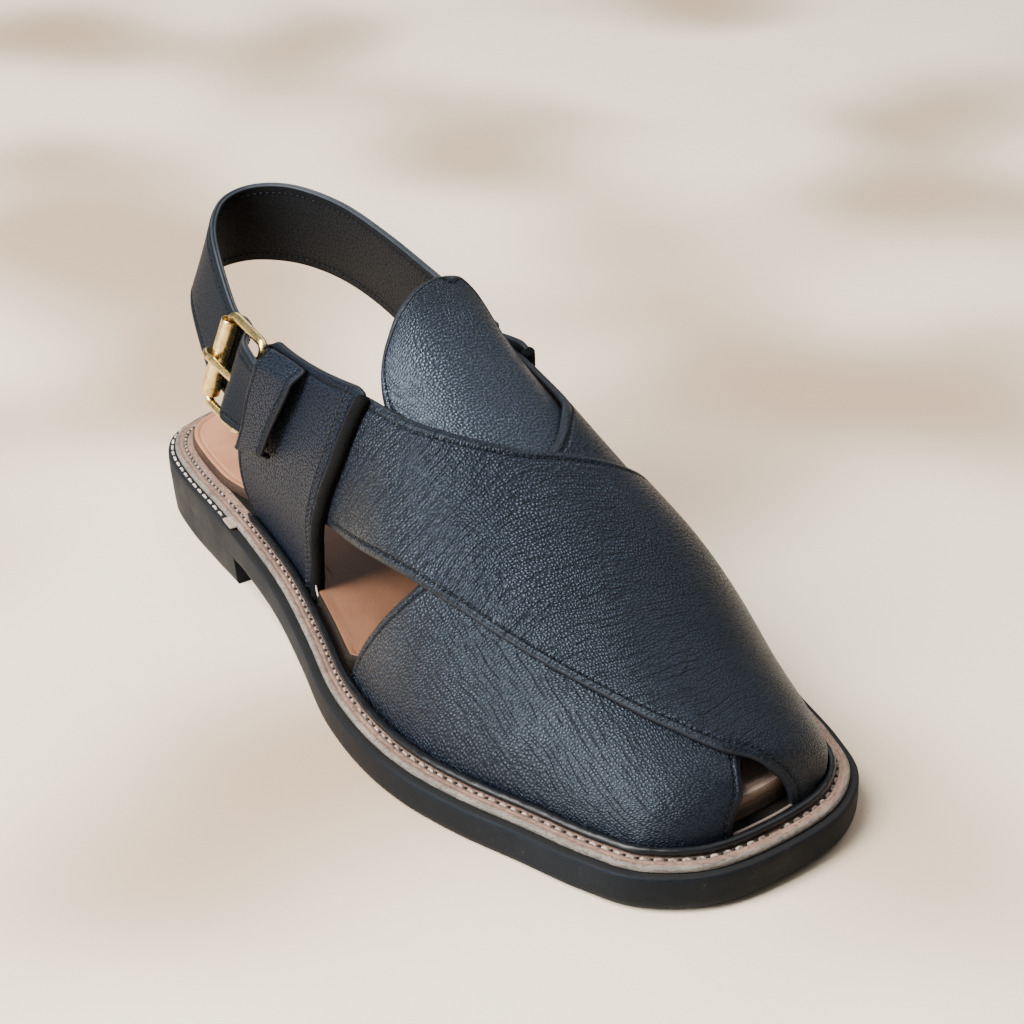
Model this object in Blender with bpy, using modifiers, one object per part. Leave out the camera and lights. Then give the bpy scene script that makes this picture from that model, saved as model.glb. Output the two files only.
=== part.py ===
"""Peshawari chappal, right shoe: a leather sandal with two crossed vamp straps.

Frame: +Y runs to the toe, +X to the wearer's right (the lateral, buckle side) and +Z up.
The ground is Z = 0.  The tables are in millimetres, and metres() turns them into scene units.
"""
import math

import bmesh
import bpy
import numpy as np
from mathutils import Vector

MM = 0.001
BOX_CENTRE_X = 3.45         # middle of the sole's width, which becomes X = 0
LATERAL, MEDIAL = "lateral", "medial"

# Sole outline from above, heel centre to toe centre, in mm.
OUTLINE = (
    # lateral_x, lateral_y, medial_x, medial_y
    (-2.0, -150.0, -2.0, -150.0),
    (17.0, -144.0, -20.5, -146.0),
    (27.5, -131.5, -32.5, -132.5),
    (33.0, -112.0, -37.0, -109.0),
    (36.5, -88.0, -35.5, -85.0),
    (39.5, -63.0, -32.0, -60.0),
    (43.5, -38.0, -30.5, -36.0),
    (50.5, -12.0, -34.0, -12.0),
    (58.5, 13.0, -42.5, 13.0),
    (63.0, 37.0, -51.5, 35.0),
    (63.5, 58.0, -56.5, 58.0),
    (60.0, 79.0, -56.0, 79.0),
    (54.0, 100.0, -50.5, 100.0),
    (48.5, 120.0, -44.5, 120.0),
    (41.0, 136.0, -36.5, 136.0),
    (24.5, 147.5, -20.5, 146.8),
    (2.0, 150.0, 2.0, 150.0),
)
STATIONS = len(OUTLINE) - 1
STEPS_PER_STATION = 3

# Heights and thicknesses, in mm.
GAP = 0.3                   # between pieces that rest on each other
RIM_AT_BALL = 10.1          # top of the outsole's rim above the ground
RIM_AT_HEEL = 21.0
SLOPE_FROM_Y, SLOPE_TO_Y = -95.0, 20.0
TOE_SPRING, SPRING_FROM_Y, SPRING_LENGTH = 1.4, 55.0, 95.0
OUTSOLE_THICK = 10.2
HEEL_BREAST_Y = -72.0
MIDSOLE_INSET, MIDSOLE_THICK = 2.6, 1.6
CORD_INSET, CORD_RADIUS = 7.6, 1.2
CORD_END_STATION = 4.55     # the rand cord stops behind the quarters
INSOLE_INSET_HEEL, INSOLE_INSET_FORE, INSOLE_INSET_TOE = 8.6, 13.9, 15.4
INSOLE_WINDOW_REACH = 4.4   # how much wider it is in the windows, between quarter and vamp
INSOLE_THICK_HEEL, INSOLE_THICK_FORE = 3.0, 6.6
UPPER_INSET = 9.4           # outer face of the upper where it meets the welt
TRIM_ALLOWANCE = 1.5        # how far the upper is drawn past the welt before it is trimmed
LEATHER = 2.2               # wall of the straps, tongue and quarters

# Height of the last's crest above the ground, y then z in mm.
CREST = ((-150, 168), (-80, 160), (-60, 149), (-40, 133), (-20, 117), (-10, 109), (0, 101),
         (10, 94), (20, 87.5), (30, 81), (40, 75), (60, 64), (80, 52.5), (100, 42.5),
         (120, 34), (129, 30.2), (135, 26.5), (139, 21.5), (141, 15))
# Sideways shift of the crest towards the big toe, y then x in mm.
CREST_LEAN = ((-150, 0), (-60, -2), (0, -9), (60, -9), (110, -3), (141, 0))
# How far the arch side of the foot overhangs the waist of the sole, y then x in mm.
ARCH_OVERHANG = ((-150, 0), (-100, -4), (-60, -9), (-25, -13), (5, -10), (40, -4), (80, 0), (141, 0))
FULLNESS = {LATERAL: 0.90, MEDIAL: 0.98}    # below 1 swells a side beyond an ellipse

# Strap edges on the last: station along the sole, then the way round it
# (0 at the lateral feather line, 0.5 on the crest, 1 at the medial feather line).
OVER_STRAP_LOWER = ((6.2, 0.07), (7.0, 0.105), (7.83, 0.15), (8.75, 0.195), (9.7, 0.23),
                    (10.65, 0.26), (11.6, 0.30), (12.5, 0.36), (13.3, 0.425), (13.97, 0.485),
                    (14.67, 0.58), (15.15, 0.70), (15.4, 0.84), (15.5, 1.0))
OVER_STRAP_UPPER = ((6.3, 0.21), (7.1, 0.28), (7.9, 0.355), (8.45, 0.425), (8.85, 0.495),
                    (9.08, 0.57), (9.18, 0.65), (9.1, 0.735), (8.9, 0.815), (8.45, 0.90),
                    (7.85, 1.0))
UNDER_STRAP_LOWER = ((6.2, 0.93), (7.0, 0.895), (7.83, 0.85), (8.75, 0.805), (9.7, 0.77),
                     (10.65, 0.74), (11.6, 0.70), (12.5, 0.64), (13.3, 0.57), (13.97, 0.495),
                     (14.77, 0.43), (15.1, 0.36), (15.4, 0.18), (15.54, 0.0))
UNDER_STRAP_UPPER = ((6.3, 0.79), (7.1, 0.72), (7.85, 0.675), (8.35, 0.605), (8.8, 0.535),
                     (9.05, 0.46), (9.17, 0.38), (9.12, 0.29), (8.94, 0.20), (8.45, 0.10),
                     (7.83, 0.0))
OVERLAP_LIFT = 2.0          # step of the over strap above the under strap
OVERLAP_SINK = 0.6          # how far the two are fused where they cross
OVERLAP_RISES = (0.03, 0.22)            # shares of its length between which it steps up
OVERLAP_FALLS_STATION = (14.2, 15.0)    # where it comes back down at the toe
OVERLAP_FALLS_AROUND = (0.86, 0.98)     # and at the medial feather line

# Tongue edges, from its foot under the straps to its top, and how far the top flares.
TONGUE_LATERAL = ((9.6, 0.33), (8.6, 0.31), (7.8, 0.29), (7.25, 0.285), (6.98, 0.31),
                  (6.9, 0.37), (6.82, 0.46), (6.7, 0.54))
TONGUE_MEDIAL = ((9.6, 0.66), (8.9, 0.67), (8.2, 0.675), (7.6, 0.675), (7.15, 0.67),
                 (6.88, 0.66), (6.72, 0.635), (6.62, 0.60))
TONGUE_SINK = 3.1           # outer face below the last, clear of both straps
TONGUE_FLARE, TONGUE_FLARE_FROM = 2.0, 0.55

QUARTER_FRONT = ((6.35, 0.0), (6.55, 0.06), (6.72, 0.12), (6.9, 0.185), (7.02, 0.285))
QUARTER_REAR = ((4.6, 0.0), (4.38, 0.02), (4.47, 0.07), (4.85, 0.125), (5.3, 0.18))
QUARTER_LIFT = 3.1          # outer face above the last, clear of the strap ends under it
QUARTER_LIFTS = (0.05, 0.4)             # shares of its height between which it comes off the last
QUARTER_DIP = 0.015         # how far its top edge sags between its corners

# Heel strap's end on the medial quarter: lower and upper edge as (station, around), then lift.
STRAP_ROOT = ((6.35, 0.865, 6.35, 0.765, 6.0), (5.85, 0.87, 5.85, 0.778, 6.0),
              (5.3, 0.877, 5.3, 0.79, 6.0))
# Heel strap, outer face, from the medial quarter round the heel to the buckle.
HEEL_STRAP = (
    # lower x, y, z, upper x, y, z
    (-34.5, -80.5, 72.3, -32.0, -81.0, 101.4),
    (-33.5, -106.0, 76.5, -29.0, -103.0, 106.0),
    (-27.0, -125.0, 79.0, -22.0, -121.0, 108.3),
    (-15.0, -137.0, 80.0, -12.0, -130.5, 108.2),
    (-2.0, -140.0, 79.5, -1.0, -131.8, 106.4),
    (10.0, -133.3, 79.0, 9.0, -123.5, 103.9),
    (20.8, -120.3, 77.0, 16.4, -110.5, 99.4),
)
STRAP_THICK = 2.4
STRAP_WIDTH_AT_BUCKLE = 25.6
SPARE_HOLE = 14.5           # ahead of the roller

# Buckle frame: middle of the roller bar and of the folded bar, and the roller's upper end.
ROLLER_MIDDLE = (29.0, -87.0, 73.0)
ROLLER_UPPER_END = (25.1, -84.3, 86.9)
FOLD_BAR_MIDDLE = (29.7, -66.7, 70.2)
FRAME_WIRE_RADIUS = 1.5
FRAME_WIDTH = 31.0          # between the centre lines of the two side wires
FRAME_CORNER = 3.0
ROLLER_RADIUS, ROLLER_BORE, ROLLER_LENGTH = 3.1, 1.9, 26.4
FOLD_RADIUS, FOLD_LENGTH = 3.2, 20.5
PRONG_RADIUS, PRONG_SLOT = 1.2, 3.4
PRONG_CLEAR = 0.4
HOLE_RADIUS = 1.9
# Outer face of the strap through the buckle: distance ahead of the roller, shift of its
# middle up the roller, then distance outwards.
STRAP_THROUGH_BUCKLE = ((-7.0, 1.0, -3.3), (0.0, 0.8, -3.5), (4.0, 0.7, -2.9), (7.5, 0.6, -0.3),
                        (11.0, 0.6, 2.6), (14.5, 0.8, 4.9), (18.5, 1.0, 6.6))
# Strap tip on the lateral quarter: lower and upper edge as (station, around), then its lift.
STRAP_TIP = ((5.0, 0.08, 5.22, 0.152, 7.4), (5.2, 0.084, 5.4, 0.157, 6.1),
             (5.38, 0.088, 5.56, 0.162, 6.0))

KEEPER_REAR = ((4.84, 0.06), (5.06, 0.09), (5.19, 0.122), (5.33, 0.152), (5.4, 0.178))
KEEPER_FRONT = ((5.46, 0.08), (5.66, 0.113), (5.86, 0.147), (6.02, 0.18), (6.1, 0.21))
KEEPER_THICK = 1.8
KEEPER_LIFT = 8.6           # outer face of its bridge above the last, clear of the strap's tip
KEEPER_RISE = 1.0           # extra height of its rear edge, where the strap comes off the buckle
KEEPER_FOOT = 0.12          # share of its length at each end that rises off the quarter


def metres(point):
    x, y, z = point
    return ((x - BOX_CENTRE_X) * MM, y * MM, z * MM)


def smooth(start, end, value):
    t = min(max((value - start) / (end - start), 0.0), 1.0)
    return t * t * (3.0 - 2.0 * t)


def blend(start, end, t):
    return start + (end - start) * t


def hermite(p1, p2, m1, m2, t):
    return (p1 * (1 + 2 * t) * (1 - t) ** 2 + m1 * t * (1 - t) ** 2
            + p2 * t * t * (3 - 2 * t) + m2 * t * t * (t - 1))


def read_table(table, at):
    """Smooth curve through a table of (key, value) rows."""
    keys, values = np.array(table, float).T
    slopes = np.gradient(values, keys)
    i = int(np.clip(np.searchsorted(keys, at) - 1, 0, len(keys) - 2))
    width = keys[i + 1] - keys[i]
    t = min(max((at - keys[i]) / width, 0.0), 1.0)
    return float(hermite(values[i], values[i + 1], slopes[i] * width, slopes[i + 1] * width, t))


def along(points, t):
    """Point at the fraction t of a smooth line through the points."""
    points = np.array(points, float)
    place = min(max(t, 0.0), 1.0) * (len(points) - 1)
    i = min(int(place), len(points) - 2)
    before = points[max(i - 1, 0)]
    after = points[min(i + 2, len(points) - 1)]
    return hermite(points[i], points[i + 1], (points[i + 1] - before) / 2,
                   (after - points[i]) / 2, place - i)


# --- sole geometry ---------------------------------------------------------------------------

def outline_loop():
    rows = np.array(OUTLINE)
    return np.vstack((rows[:, :2], rows[-2:0:-1, 2:]))


LOOP = outline_loop()


def outline_point(side, station, inset=0.0):
    """Point on the outline, set in from the edge along its normal."""
    place = station if side == LATERAL else 2 * STATIONS - station
    i = math.floor(place)
    t = place - i
    p0, p1, p2, p3 = (LOOP[(i + k) % len(LOOP)] for k in (-1, 0, 1, 2))
    m1, m2 = (p2 - p0) / 2, (p3 - p1) / 2
    point = hermite(p1, p2, m1, m2, t)
    tangent = ((p1 - p2) * (6 * t * t - 6 * t) + m1 * (3 * t * t - 4 * t + 1)
               + m2 * (3 * t * t - 2 * t))
    normal = np.array((-tangent[1], tangent[0])) / np.hypot(*tangent)
    return point + normal * inset


def rim_top(y):
    slope = 1.0 - smooth(SLOPE_FROM_Y, SLOPE_TO_Y, y)
    spring = max((y - SPRING_FROM_Y) / SPRING_LENGTH, 0.0) ** 2
    return blend(RIM_AT_BALL, RIM_AT_HEEL, slope) + TOE_SPRING * spring


def underside(y):
    return max(rim_top(y) - OUTSOLE_THICK, 0.0)


def midsole_top(y):
    return rim_top(y) + GAP + MIDSOLE_THICK


def insole_inset(y):
    fore = blend(INSOLE_INSET_FORE, INSOLE_INSET_TOE, smooth(110.0, 135.0, y))
    in_window = smooth(-28.0, -22.5, y) * (1.0 - smooth(1.5, 8.0, y))
    return blend(INSOLE_INSET_HEEL, fore, smooth(-98.0, -72.0, y)) - INSOLE_WINDOW_REACH * in_window


def insole_top(y):
    thick = blend(INSOLE_THICK_HEEL, INSOLE_THICK_FORE, smooth(-90.0, 40.0, y))
    return midsole_top(y) + GAP + thick


def last_point(station, around, lift=0.0):
    """Point on the last: station along the sole, way round it, and lift off its surface."""
    if lift:
        step = 0.01
        ahead = last_point(min(station + step, STATIONS), around)
        behind = last_point(station - step, around)
        over = last_point(station, min(around + step, 1.0))
        under = last_point(station, max(around - step, 0.0))
        normal = np.cross(ahead - behind, over - under)
        return last_point(station, around) + normal * (lift / np.linalg.norm(normal))
    lateral = outline_point(LATERAL, station, UPPER_INSET)
    medial = outline_point(MEDIAL, station, UPPER_INSET)
    middle, half = (lateral + medial) / 2, (lateral - medial) / 2
    cosine, sine = math.cos(math.pi * around), max(math.sin(math.pi * around), 0.0)
    fullness = FULLNESS[LATERAL if cosine > 0 else MEDIAL]
    rise = sine ** fullness
    x, y = middle + half * math.copysign(abs(cosine) ** fullness, cosine)
    feather = midsole_top(y) - TRIM_ALLOWANCE
    z = blend(feather, read_table(CREST, middle[1]), rise)
    x += read_table(CREST_LEAN, middle[1]) * rise ** 1.25
    if cosine < 0.0:
        x -= read_table(ARCH_OVERHANG, middle[1]) * 2.4 * rise ** 1.7 * cosine
    return np.array((x, y, z))


# --- making objects --------------------------------------------------------------------------

def collection(name):
    group = bpy.data.collections.new(name)
    bpy.context.scene.collection.children.link(group)
    return group


def material(name, colour, roughness, metallic=0.0):
    made = bpy.data.materials.new(name)
    made.use_nodes = True
    shader = made.node_tree.nodes["Principled BSDF"]
    shader.inputs["Base Color"].default_value = (*colour, 1.0)
    shader.inputs["Roughness"].default_value = roughness
    shader.inputs["Metallic"].default_value = metallic
    made.diffuse_color = (*colour, 1.0)
    return made


def add_object(name, mesh, look, group):
    obj = bpy.data.objects.new(name, mesh)
    mesh.materials.append(look)
    group.objects.link(obj)
    return obj


def finish_mesh(name, bm, sharp=math.radians(35)):
    mesh = bpy.data.meshes.new(name)
    bm.to_mesh(mesh)
    bm.free()
    mesh.shade_smooth()
    mesh.set_sharp_from_angle(angle=sharp)
    return mesh


def plate(name, rings, look, group):
    """Closed plate lofted through outline rings, each (inset(y), height(y)) from bottom to top."""
    bm = bmesh.new()
    count = STATIONS * STEPS_PER_STATION
    loops = []
    for inset, height in rings:
        loop = []
        for k in range(2 * count):
            side, station = (LATERAL, k) if k <= count else (MEDIAL, 2 * count - k)
            station /= STEPS_PER_STATION
            edge_y = outline_point(side, station)[1]
            x, y = outline_point(side, station, inset(edge_y))
            loop.append(bm.verts.new(metres((x, y, height(y)))))
        loops.append(loop)
    for low, high in zip(loops, loops[1:]):
        for k in range(2 * count):
            nxt = (k + 1) % (2 * count)
            bm.faces.new((low[k], low[nxt], high[nxt], high[k]))
    for loop, upward in ((loops[0], False), (loops[-1], True)):
        for k in range(count):
            corners = [loop[k], loop[k + 1], loop[-k - 1], loop[-k % (2 * count)]]
            corners = list(dict.fromkeys(corners))
            bm.faces.new(corners if upward else corners[::-1])
    return add_object(name, finish_mesh(name, bm), look, group)


def sheet(name, point, segments, thick, look, group, reverse=False):
    """Leather sheet: a grid mapped by point(u, v) to its outer face, then thickened inwards.

    reverse is for a patch whose u and v run clockwise seen from outside the shoe.
    """
    across, up = segments
    bm = bmesh.new()
    bmesh.ops.create_grid(bm, x_segments=across, y_segments=up, size=0.5)
    for vert in bm.verts:
        vert.co = metres(point(vert.co.x + 0.5, vert.co.y + 0.5))
    if reverse:
        bmesh.ops.reverse_faces(bm, faces=bm.faces)
    obj = add_object(name, finish_mesh(name, bm), look, group)
    wall = obj.modifiers.new("Wall", "SOLIDIFY")
    wall.thickness = thick * MM
    wall.offset = -1.0
    wall.use_even_offset = True
    return obj


def rod(name, points, radius, look, group, cyclic=False):
    """Round bar along the points, given in millimetres, made into a mesh."""
    curve = bpy.data.curves.new(name, "CURVE")
    curve.dimensions = "3D"
    curve.bevel_depth = radius * MM
    curve.bevel_resolution = 2
    curve.use_fill_caps = True
    spline = curve.splines.new("POLY")
    spline.points.add(len(points) - 1)
    for slot, point in zip(spline.points, points):
        slot.co = (*metres(point), 1.0)
    spline.use_cyclic_u = cyclic
    source = bpy.data.objects.new(name + "_path", curve)
    group.objects.link(source)
    bpy.context.view_layer.update()
    mesh = bpy.data.meshes.new_from_object(source.evaluated_get(bpy.context.evaluated_depsgraph_get()))
    bpy.data.objects.remove(source)
    bm = bmesh.new()
    bm.from_mesh(mesh)
    bmesh.ops.remove_doubles(bm, verts=bm.verts, dist=1e-6)
    bmesh.ops.recalc_face_normals(bm, faces=bm.faces)
    bpy.data.meshes.remove(mesh)
    return add_object(name, finish_mesh(name, bm), look, group)


def boolean(obj, other, operation):
    step = obj.modifiers.new(operation.title(), "BOOLEAN")
    step.operation = operation
    step.object = other
    step.solver = "EXACT"
    return step


def as_cutter(obj, group):
    for owner in list(obj.users_collection):
        owner.objects.unlink(obj)
    group.objects.link(obj)
    obj.hide_render = True
    obj.display_type = "WIRE"


# --- sole --------------------------------------------------------------------------------------

def constant(value):
    return lambda y: value


def build_sole(looks, parts, cutters):
    plate("outsole", (
        (constant(1.2), underside),
        (constant(0.5), lambda y: underside(y) + 1.0),
        (constant(0.0), lambda y: underside(y) + 3.0),
        (constant(0.0), lambda y: rim_top(y) - 0.6),
        (constant(0.6), rim_top)), looks["sole"], parts)

    plate("midsole", (
        (constant(MIDSOLE_INSET), lambda y: rim_top(y) + GAP),
        (constant(MIDSOLE_INSET), lambda y: midsole_top(y) - 0.4),
        (constant(MIDSOLE_INSET + 0.5), midsole_top)), looks["natural"], parts)

    plate("insole", (
        (insole_inset, lambda y: midsole_top(y) + GAP),
        (insole_inset, lambda y: insole_top(y) - 1.5),
        (lambda y: insole_inset(y) + 0.6, lambda y: insole_top(y) - 0.5),
        (lambda y: insole_inset(y) + 2.0, insole_top)), looks["insole"], parts)

    heel = plate("heel_block", (
        (constant(2.2), constant(0.0)),
        (constant(1.4), constant(1.0)),
        (constant(0.6), lambda y: max(underside(y) - GAP, 1.5))), looks["sole"], parts)
    bpy.ops.mesh.primitive_cube_add(size=1.0)
    front = bpy.context.object
    front.name = "heel_breast_cutter"
    front.scale = (0.2, 0.3, 0.06)
    front.location = (0.0, HEEL_BREAST_Y * MM + 0.15, 0.0)
    as_cutter(front, cutters)
    boolean(heel, front, "DIFFERENCE")

    cord_points = []
    reach = STATIONS - CORD_END_STATION
    steps = 28
    for side, order in ((LATERAL, range(steps + 1)), (MEDIAL, range(steps - 1, -1, -1))):
        for k in order:
            x, y = outline_point(side, CORD_END_STATION + reach * k / steps, CORD_INSET)
            cord_points.append((x, y, midsole_top(y) + GAP + CORD_RADIUS))
    rod("welt_cord", cord_points, CORD_RADIUS, looks["edge"], parts)


# --- upper -------------------------------------------------------------------------------------

def build_welt_trim(looks, cutters):
    """Block that trims the foot of every upper piece just above the welt."""
    trim = plate("welt_trim_cutter", (
        (constant(MIDSOLE_INSET), lambda y: midsole_top(y) - 6.0),
        (constant(MIDSOLE_INSET), lambda y: midsole_top(y) + GAP)), looks["natural"], cutters)
    as_cutter(trim, cutters)
    return trim


def strap_patch(lower, upper, lift):
    """Ruled patch of the last between two edges; u runs along the strap and v across it."""
    def point(u, v):
        station, around = blend(along(lower, u), along(upper, u), v)
        return last_point(station, around, lift(u, station, around))
    return point


def build_upper(looks, parts, cutters, trim):
    def over_lift(u, station, around):
        beyond_under_strap = max(smooth(*OVERLAP_FALLS_STATION, station),
                                 smooth(*OVERLAP_FALLS_AROUND, around))
        return OVERLAP_LIFT * smooth(*OVERLAP_RISES, u) * (1.0 - beyond_under_strap)

    over = sheet("upper", strap_patch(OVER_STRAP_LOWER, OVER_STRAP_UPPER, over_lift),
                 (24, 16), LEATHER + OVERLAP_SINK, looks["leather"], parts)
    under = sheet("under_strap", strap_patch(UNDER_STRAP_LOWER, UNDER_STRAP_UPPER, lambda *place: 0.0),
                  (24, 16), LEATHER, looks["leather"], parts, reverse=True)
    as_cutter(under, cutters)
    boolean(over, under, "UNION")
    boolean(over, trim, "DIFFERENCE")

    def tongue_point(u, v):
        station, around = blend(along(TONGUE_LATERAL, u), along(TONGUE_MEDIAL, u), v)
        return last_point(station, around, TONGUE_FLARE * smooth(TONGUE_FLARE_FROM, 1.0, u) - TONGUE_SINK)

    sheet("tongue", tongue_point, (14, 12), LEATHER, looks["leather"], parts, reverse=True)


def build_quarters(looks, parts, trim):
    quarters = {}
    for side in (LATERAL, MEDIAL):
        def point(u, v, side=side):
            station, around = blend(along(QUARTER_REAR, v), along(QUARTER_FRONT, v), u)
            around -= QUARTER_DIP * 4.0 * u * (1.0 - u) * v * v
            lift = QUARTER_LIFT * smooth(*QUARTER_LIFTS, v)
            return last_point(station, around if side == LATERAL else 1.0 - around, lift)

        quarter = sheet("quarter_" + side, point, (11, 12), LEATHER, looks["leather"], parts,
                        reverse=side == MEDIAL)
        boolean(quarter, trim, "DIFFERENCE")
        quarters[side] = quarter
    return quarters


# --- heel strap and buckle ---------------------------------------------------------------------

def unit(vector):
    return vector / np.linalg.norm(vector)


class BuckleFrame:
    """Local axes of the buckle: ahead to the toe, across the strap, and outwards."""

    def __init__(self):
        self.origin = np.array(ROLLER_MIDDLE)
        reach = np.array(FOLD_BAR_MIDDLE) - self.origin
        self.across = unit(np.array(ROLLER_UPPER_END) - self.origin)
        self.ahead = unit(reach - self.across * (reach @ self.across))
        self.outward = np.cross(self.ahead, self.across)
        self.length = float(reach @ self.ahead)

    def at(self, ahead, across=0.0, outward=0.0):
        return self.origin + self.ahead * ahead + self.across * across + self.outward * outward


def strap_rows():
    """Lower edge, middle and upper edge of the heel strap's outer face, medial end to tip."""
    frame = BuckleFrame()
    width = STRAP_WIDTH_AT_BUCKLE / 2
    def on_quarter(table):
        return [[last_point(*blend(np.array(row[:2]), np.array(row[2:4]), share), row[4])
                 for share in (0.0, 0.5, 1.0)] for row in table]

    free = np.array(HEEL_STRAP).reshape(-1, 2, 3)
    rows = on_quarter(STRAP_ROOT)
    rows += [[low, (low + high) / 2, high] for low, high in free]
    rows += [[frame.at(ahead, shift + across, out) for across in (-width, 0.0, width)]
             for ahead, shift, out in STRAP_THROUGH_BUCKLE]
    rows += on_quarter(STRAP_TIP)
    return np.array(rows)


def cylinder(name, start, end, radius, look, group, sides=24):
    start, end = Vector(metres(start)), Vector(metres(end))
    bpy.ops.mesh.primitive_cylinder_add(vertices=sides, radius=radius * MM,
                                        depth=(end - start).length, location=(start + end) / 2)
    obj = bpy.context.object
    obj.name = name
    obj.rotation_euler = (end - start).to_track_quat("Z", "Y").to_euler()
    obj.data.materials.append(look)
    obj.data.shade_smooth()
    obj.data.set_sharp_from_angle(angle=math.radians(35))
    for owner in list(obj.users_collection):
        owner.objects.unlink(obj)
    group.objects.link(obj)
    return obj


def arc(centre, radius, first, last, steps):
    """Points of an arc in the ahead-outward plane; angles in degrees from ahead to outward."""
    angles = [math.radians(blend(first, last, k / steps)) for k in range(steps + 1)]
    return [(centre[0] + radius * math.cos(a), centre[1] + radius * math.sin(a)) for a in angles]


def build_heel_strap(looks, parts, cutters):
    rows = strap_rows()

    def point(u, v):
        low, middle, high = along(rows.reshape(len(rows), 9), u).reshape(3, 3)
        return low * (1 - v) * (1 - 2 * v) + middle * 4 * v * (1 - v) + high * v * (2 * v - 1)

    strap = sheet("heel_strap", point, (63, 4), STRAP_THICK, looks["leather"], parts)
    frame = BuckleFrame()
    eye, tip = prong_heights()
    holes = (
        ("prong_hole_cutter", frame.at(2.0, 0.0, tip), frame.at(frame.length + eye, 0.0, eye),
         PRONG_RADIUS + PRONG_CLEAR),
        ("spare_hole_cutter", frame.at(SPARE_HOLE, 0.0, 0.0), frame.at(SPARE_HOLE, 0.0, 14.0),
         HOLE_RADIUS))
    for name, start, end, radius in holes:
        cutter = cylinder(name, start, end, radius, looks["leather"], cutters, 12)
        as_cutter(cutter, cutters)
        boolean(strap, cutter, "DIFFERENCE")


def prong_heights():
    """Centre line of the prong above the folded bar and above the roller."""
    return FRAME_WIRE_RADIUS + GAP + PRONG_RADIUS, ROLLER_RADIUS + GAP + PRONG_RADIUS


def build_buckle(looks, parts, cutters, quarter):
    frame = BuckleFrame()
    half, length = FRAME_WIDTH / 2, frame.length
    corners = ((0.0, -half), (length, -half), (length, half), (0.0, half))
    points = []
    for index, (ahead, across) in enumerate(corners):
        turn = 180.0 + 90.0 * index
        centre = (min(max(ahead, FRAME_CORNER), length - FRAME_CORNER),
                  min(max(across, FRAME_CORNER - half), half - FRAME_CORNER))
        points += [frame.at(*spot) for spot in arc(centre, FRAME_CORNER, turn, turn + 90.0, 4)]
    rod("buckle_frame", points, FRAME_WIRE_RADIUS, looks["brass"], parts, cyclic=True)

    end = ROLLER_LENGTH / 2
    roller = cylinder("buckle_roller", frame.at(0, -end), frame.at(0, end), ROLLER_RADIUS,
                      looks["brass"], parts)
    bore = cylinder("roller_bore_cutter", frame.at(0, -end - 2), frame.at(0, end + 2), ROLLER_BORE,
                    looks["brass"], cutters)
    as_cutter(bore, cutters)
    boolean(roller, bore, "DIFFERENCE")

    # The quarter's rear edge folds round the front bar, with a slot for the prong's eye.
    fold = cylinder("fold_cutter", frame.at(length, -FOLD_LENGTH / 2),
                    frame.at(length, FOLD_LENGTH / 2), FOLD_RADIUS, looks["leather"], cutters)
    fold_bore = cylinder("fold_bore_cutter", frame.at(length, -half - 4),
                         frame.at(length, half + 4), FRAME_WIRE_RADIUS + GAP, looks["leather"],
                         cutters, 16)
    slot = cylinder("prong_slot_cutter", frame.at(length, -PRONG_SLOT / 2),
                    frame.at(length, PRONG_SLOT / 2), FOLD_RADIUS + 1.6, looks["leather"], cutters, 16)
    for cutter, operation in ((fold, "UNION"), (fold_bore, "DIFFERENCE"), (slot, "DIFFERENCE")):
        as_cutter(cutter, cutters)
        boolean(quarter, cutter, operation)

    eye, tip = prong_heights()
    path = arc((length, 0.0), eye, 0.0 - 150.0, 90.0, 14)
    path += arc((0.0, 0.0), tip, 78.0, 190.0, 9)
    rod("buckle_prong", [frame.at(ahead, 0.0, out) for ahead, out in path], PRONG_RADIUS,
        looks["brass"], parts)


def build_keeper(looks, parts):
    def point(u, v):
        station, around = blend(along(KEEPER_REAR, v), along(KEEPER_FRONT, v), u)
        bridge = smooth(0.0, KEEPER_FOOT, v) * (1.0 - smooth(1.0 - KEEPER_FOOT, 1.0, v))
        low = QUARTER_LIFT + GAP + KEEPER_THICK
        high = KEEPER_LIFT + KEEPER_RISE * (1.0 - u)
        return last_point(station, around, blend(low, high, bridge))

    sheet("keeper_loop", point, (4, 18), KEEPER_THICK, looks["leather"], parts)


def main():
    for obj in list(bpy.data.objects):
        bpy.data.objects.remove(obj)
    parts = collection("PeshawariChappal")
    cutters = collection("Cutters")
    looks = {
        "leather": material("navy_black_leather", (0.035, 0.043, 0.055), 0.5),
        "sole": material("black_sole_edge", (0.02, 0.02, 0.022), 0.6),
        "natural": material("natural_welt", (0.42, 0.27, 0.2), 0.7),
        "insole": material("tan_insole", (0.5, 0.29, 0.2), 0.6),
        "edge": material("black_cord", (0.02, 0.02, 0.022), 0.45),
        "brass": material("aged_brass", (0.6, 0.42, 0.18), 0.3, 1.0),
    }
    build_sole(looks, parts, cutters)
    trim = build_welt_trim(looks, cutters)
    build_upper(looks, parts, cutters, trim)
    quarters = build_quarters(looks, parts, trim)
    build_heel_strap(looks, parts, cutters)
    build_buckle(looks, parts, cutters, quarters[LATERAL])
    build_keeper(looks, parts)


main()
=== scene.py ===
"""Looks of the peshawari chappal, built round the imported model.

The part's frame: +Y to the toe, +X to the buckle side, +Z up, ground at Z = 0.  Tables are in
millimetres, and metres() turns them into scene units.
"""

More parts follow.
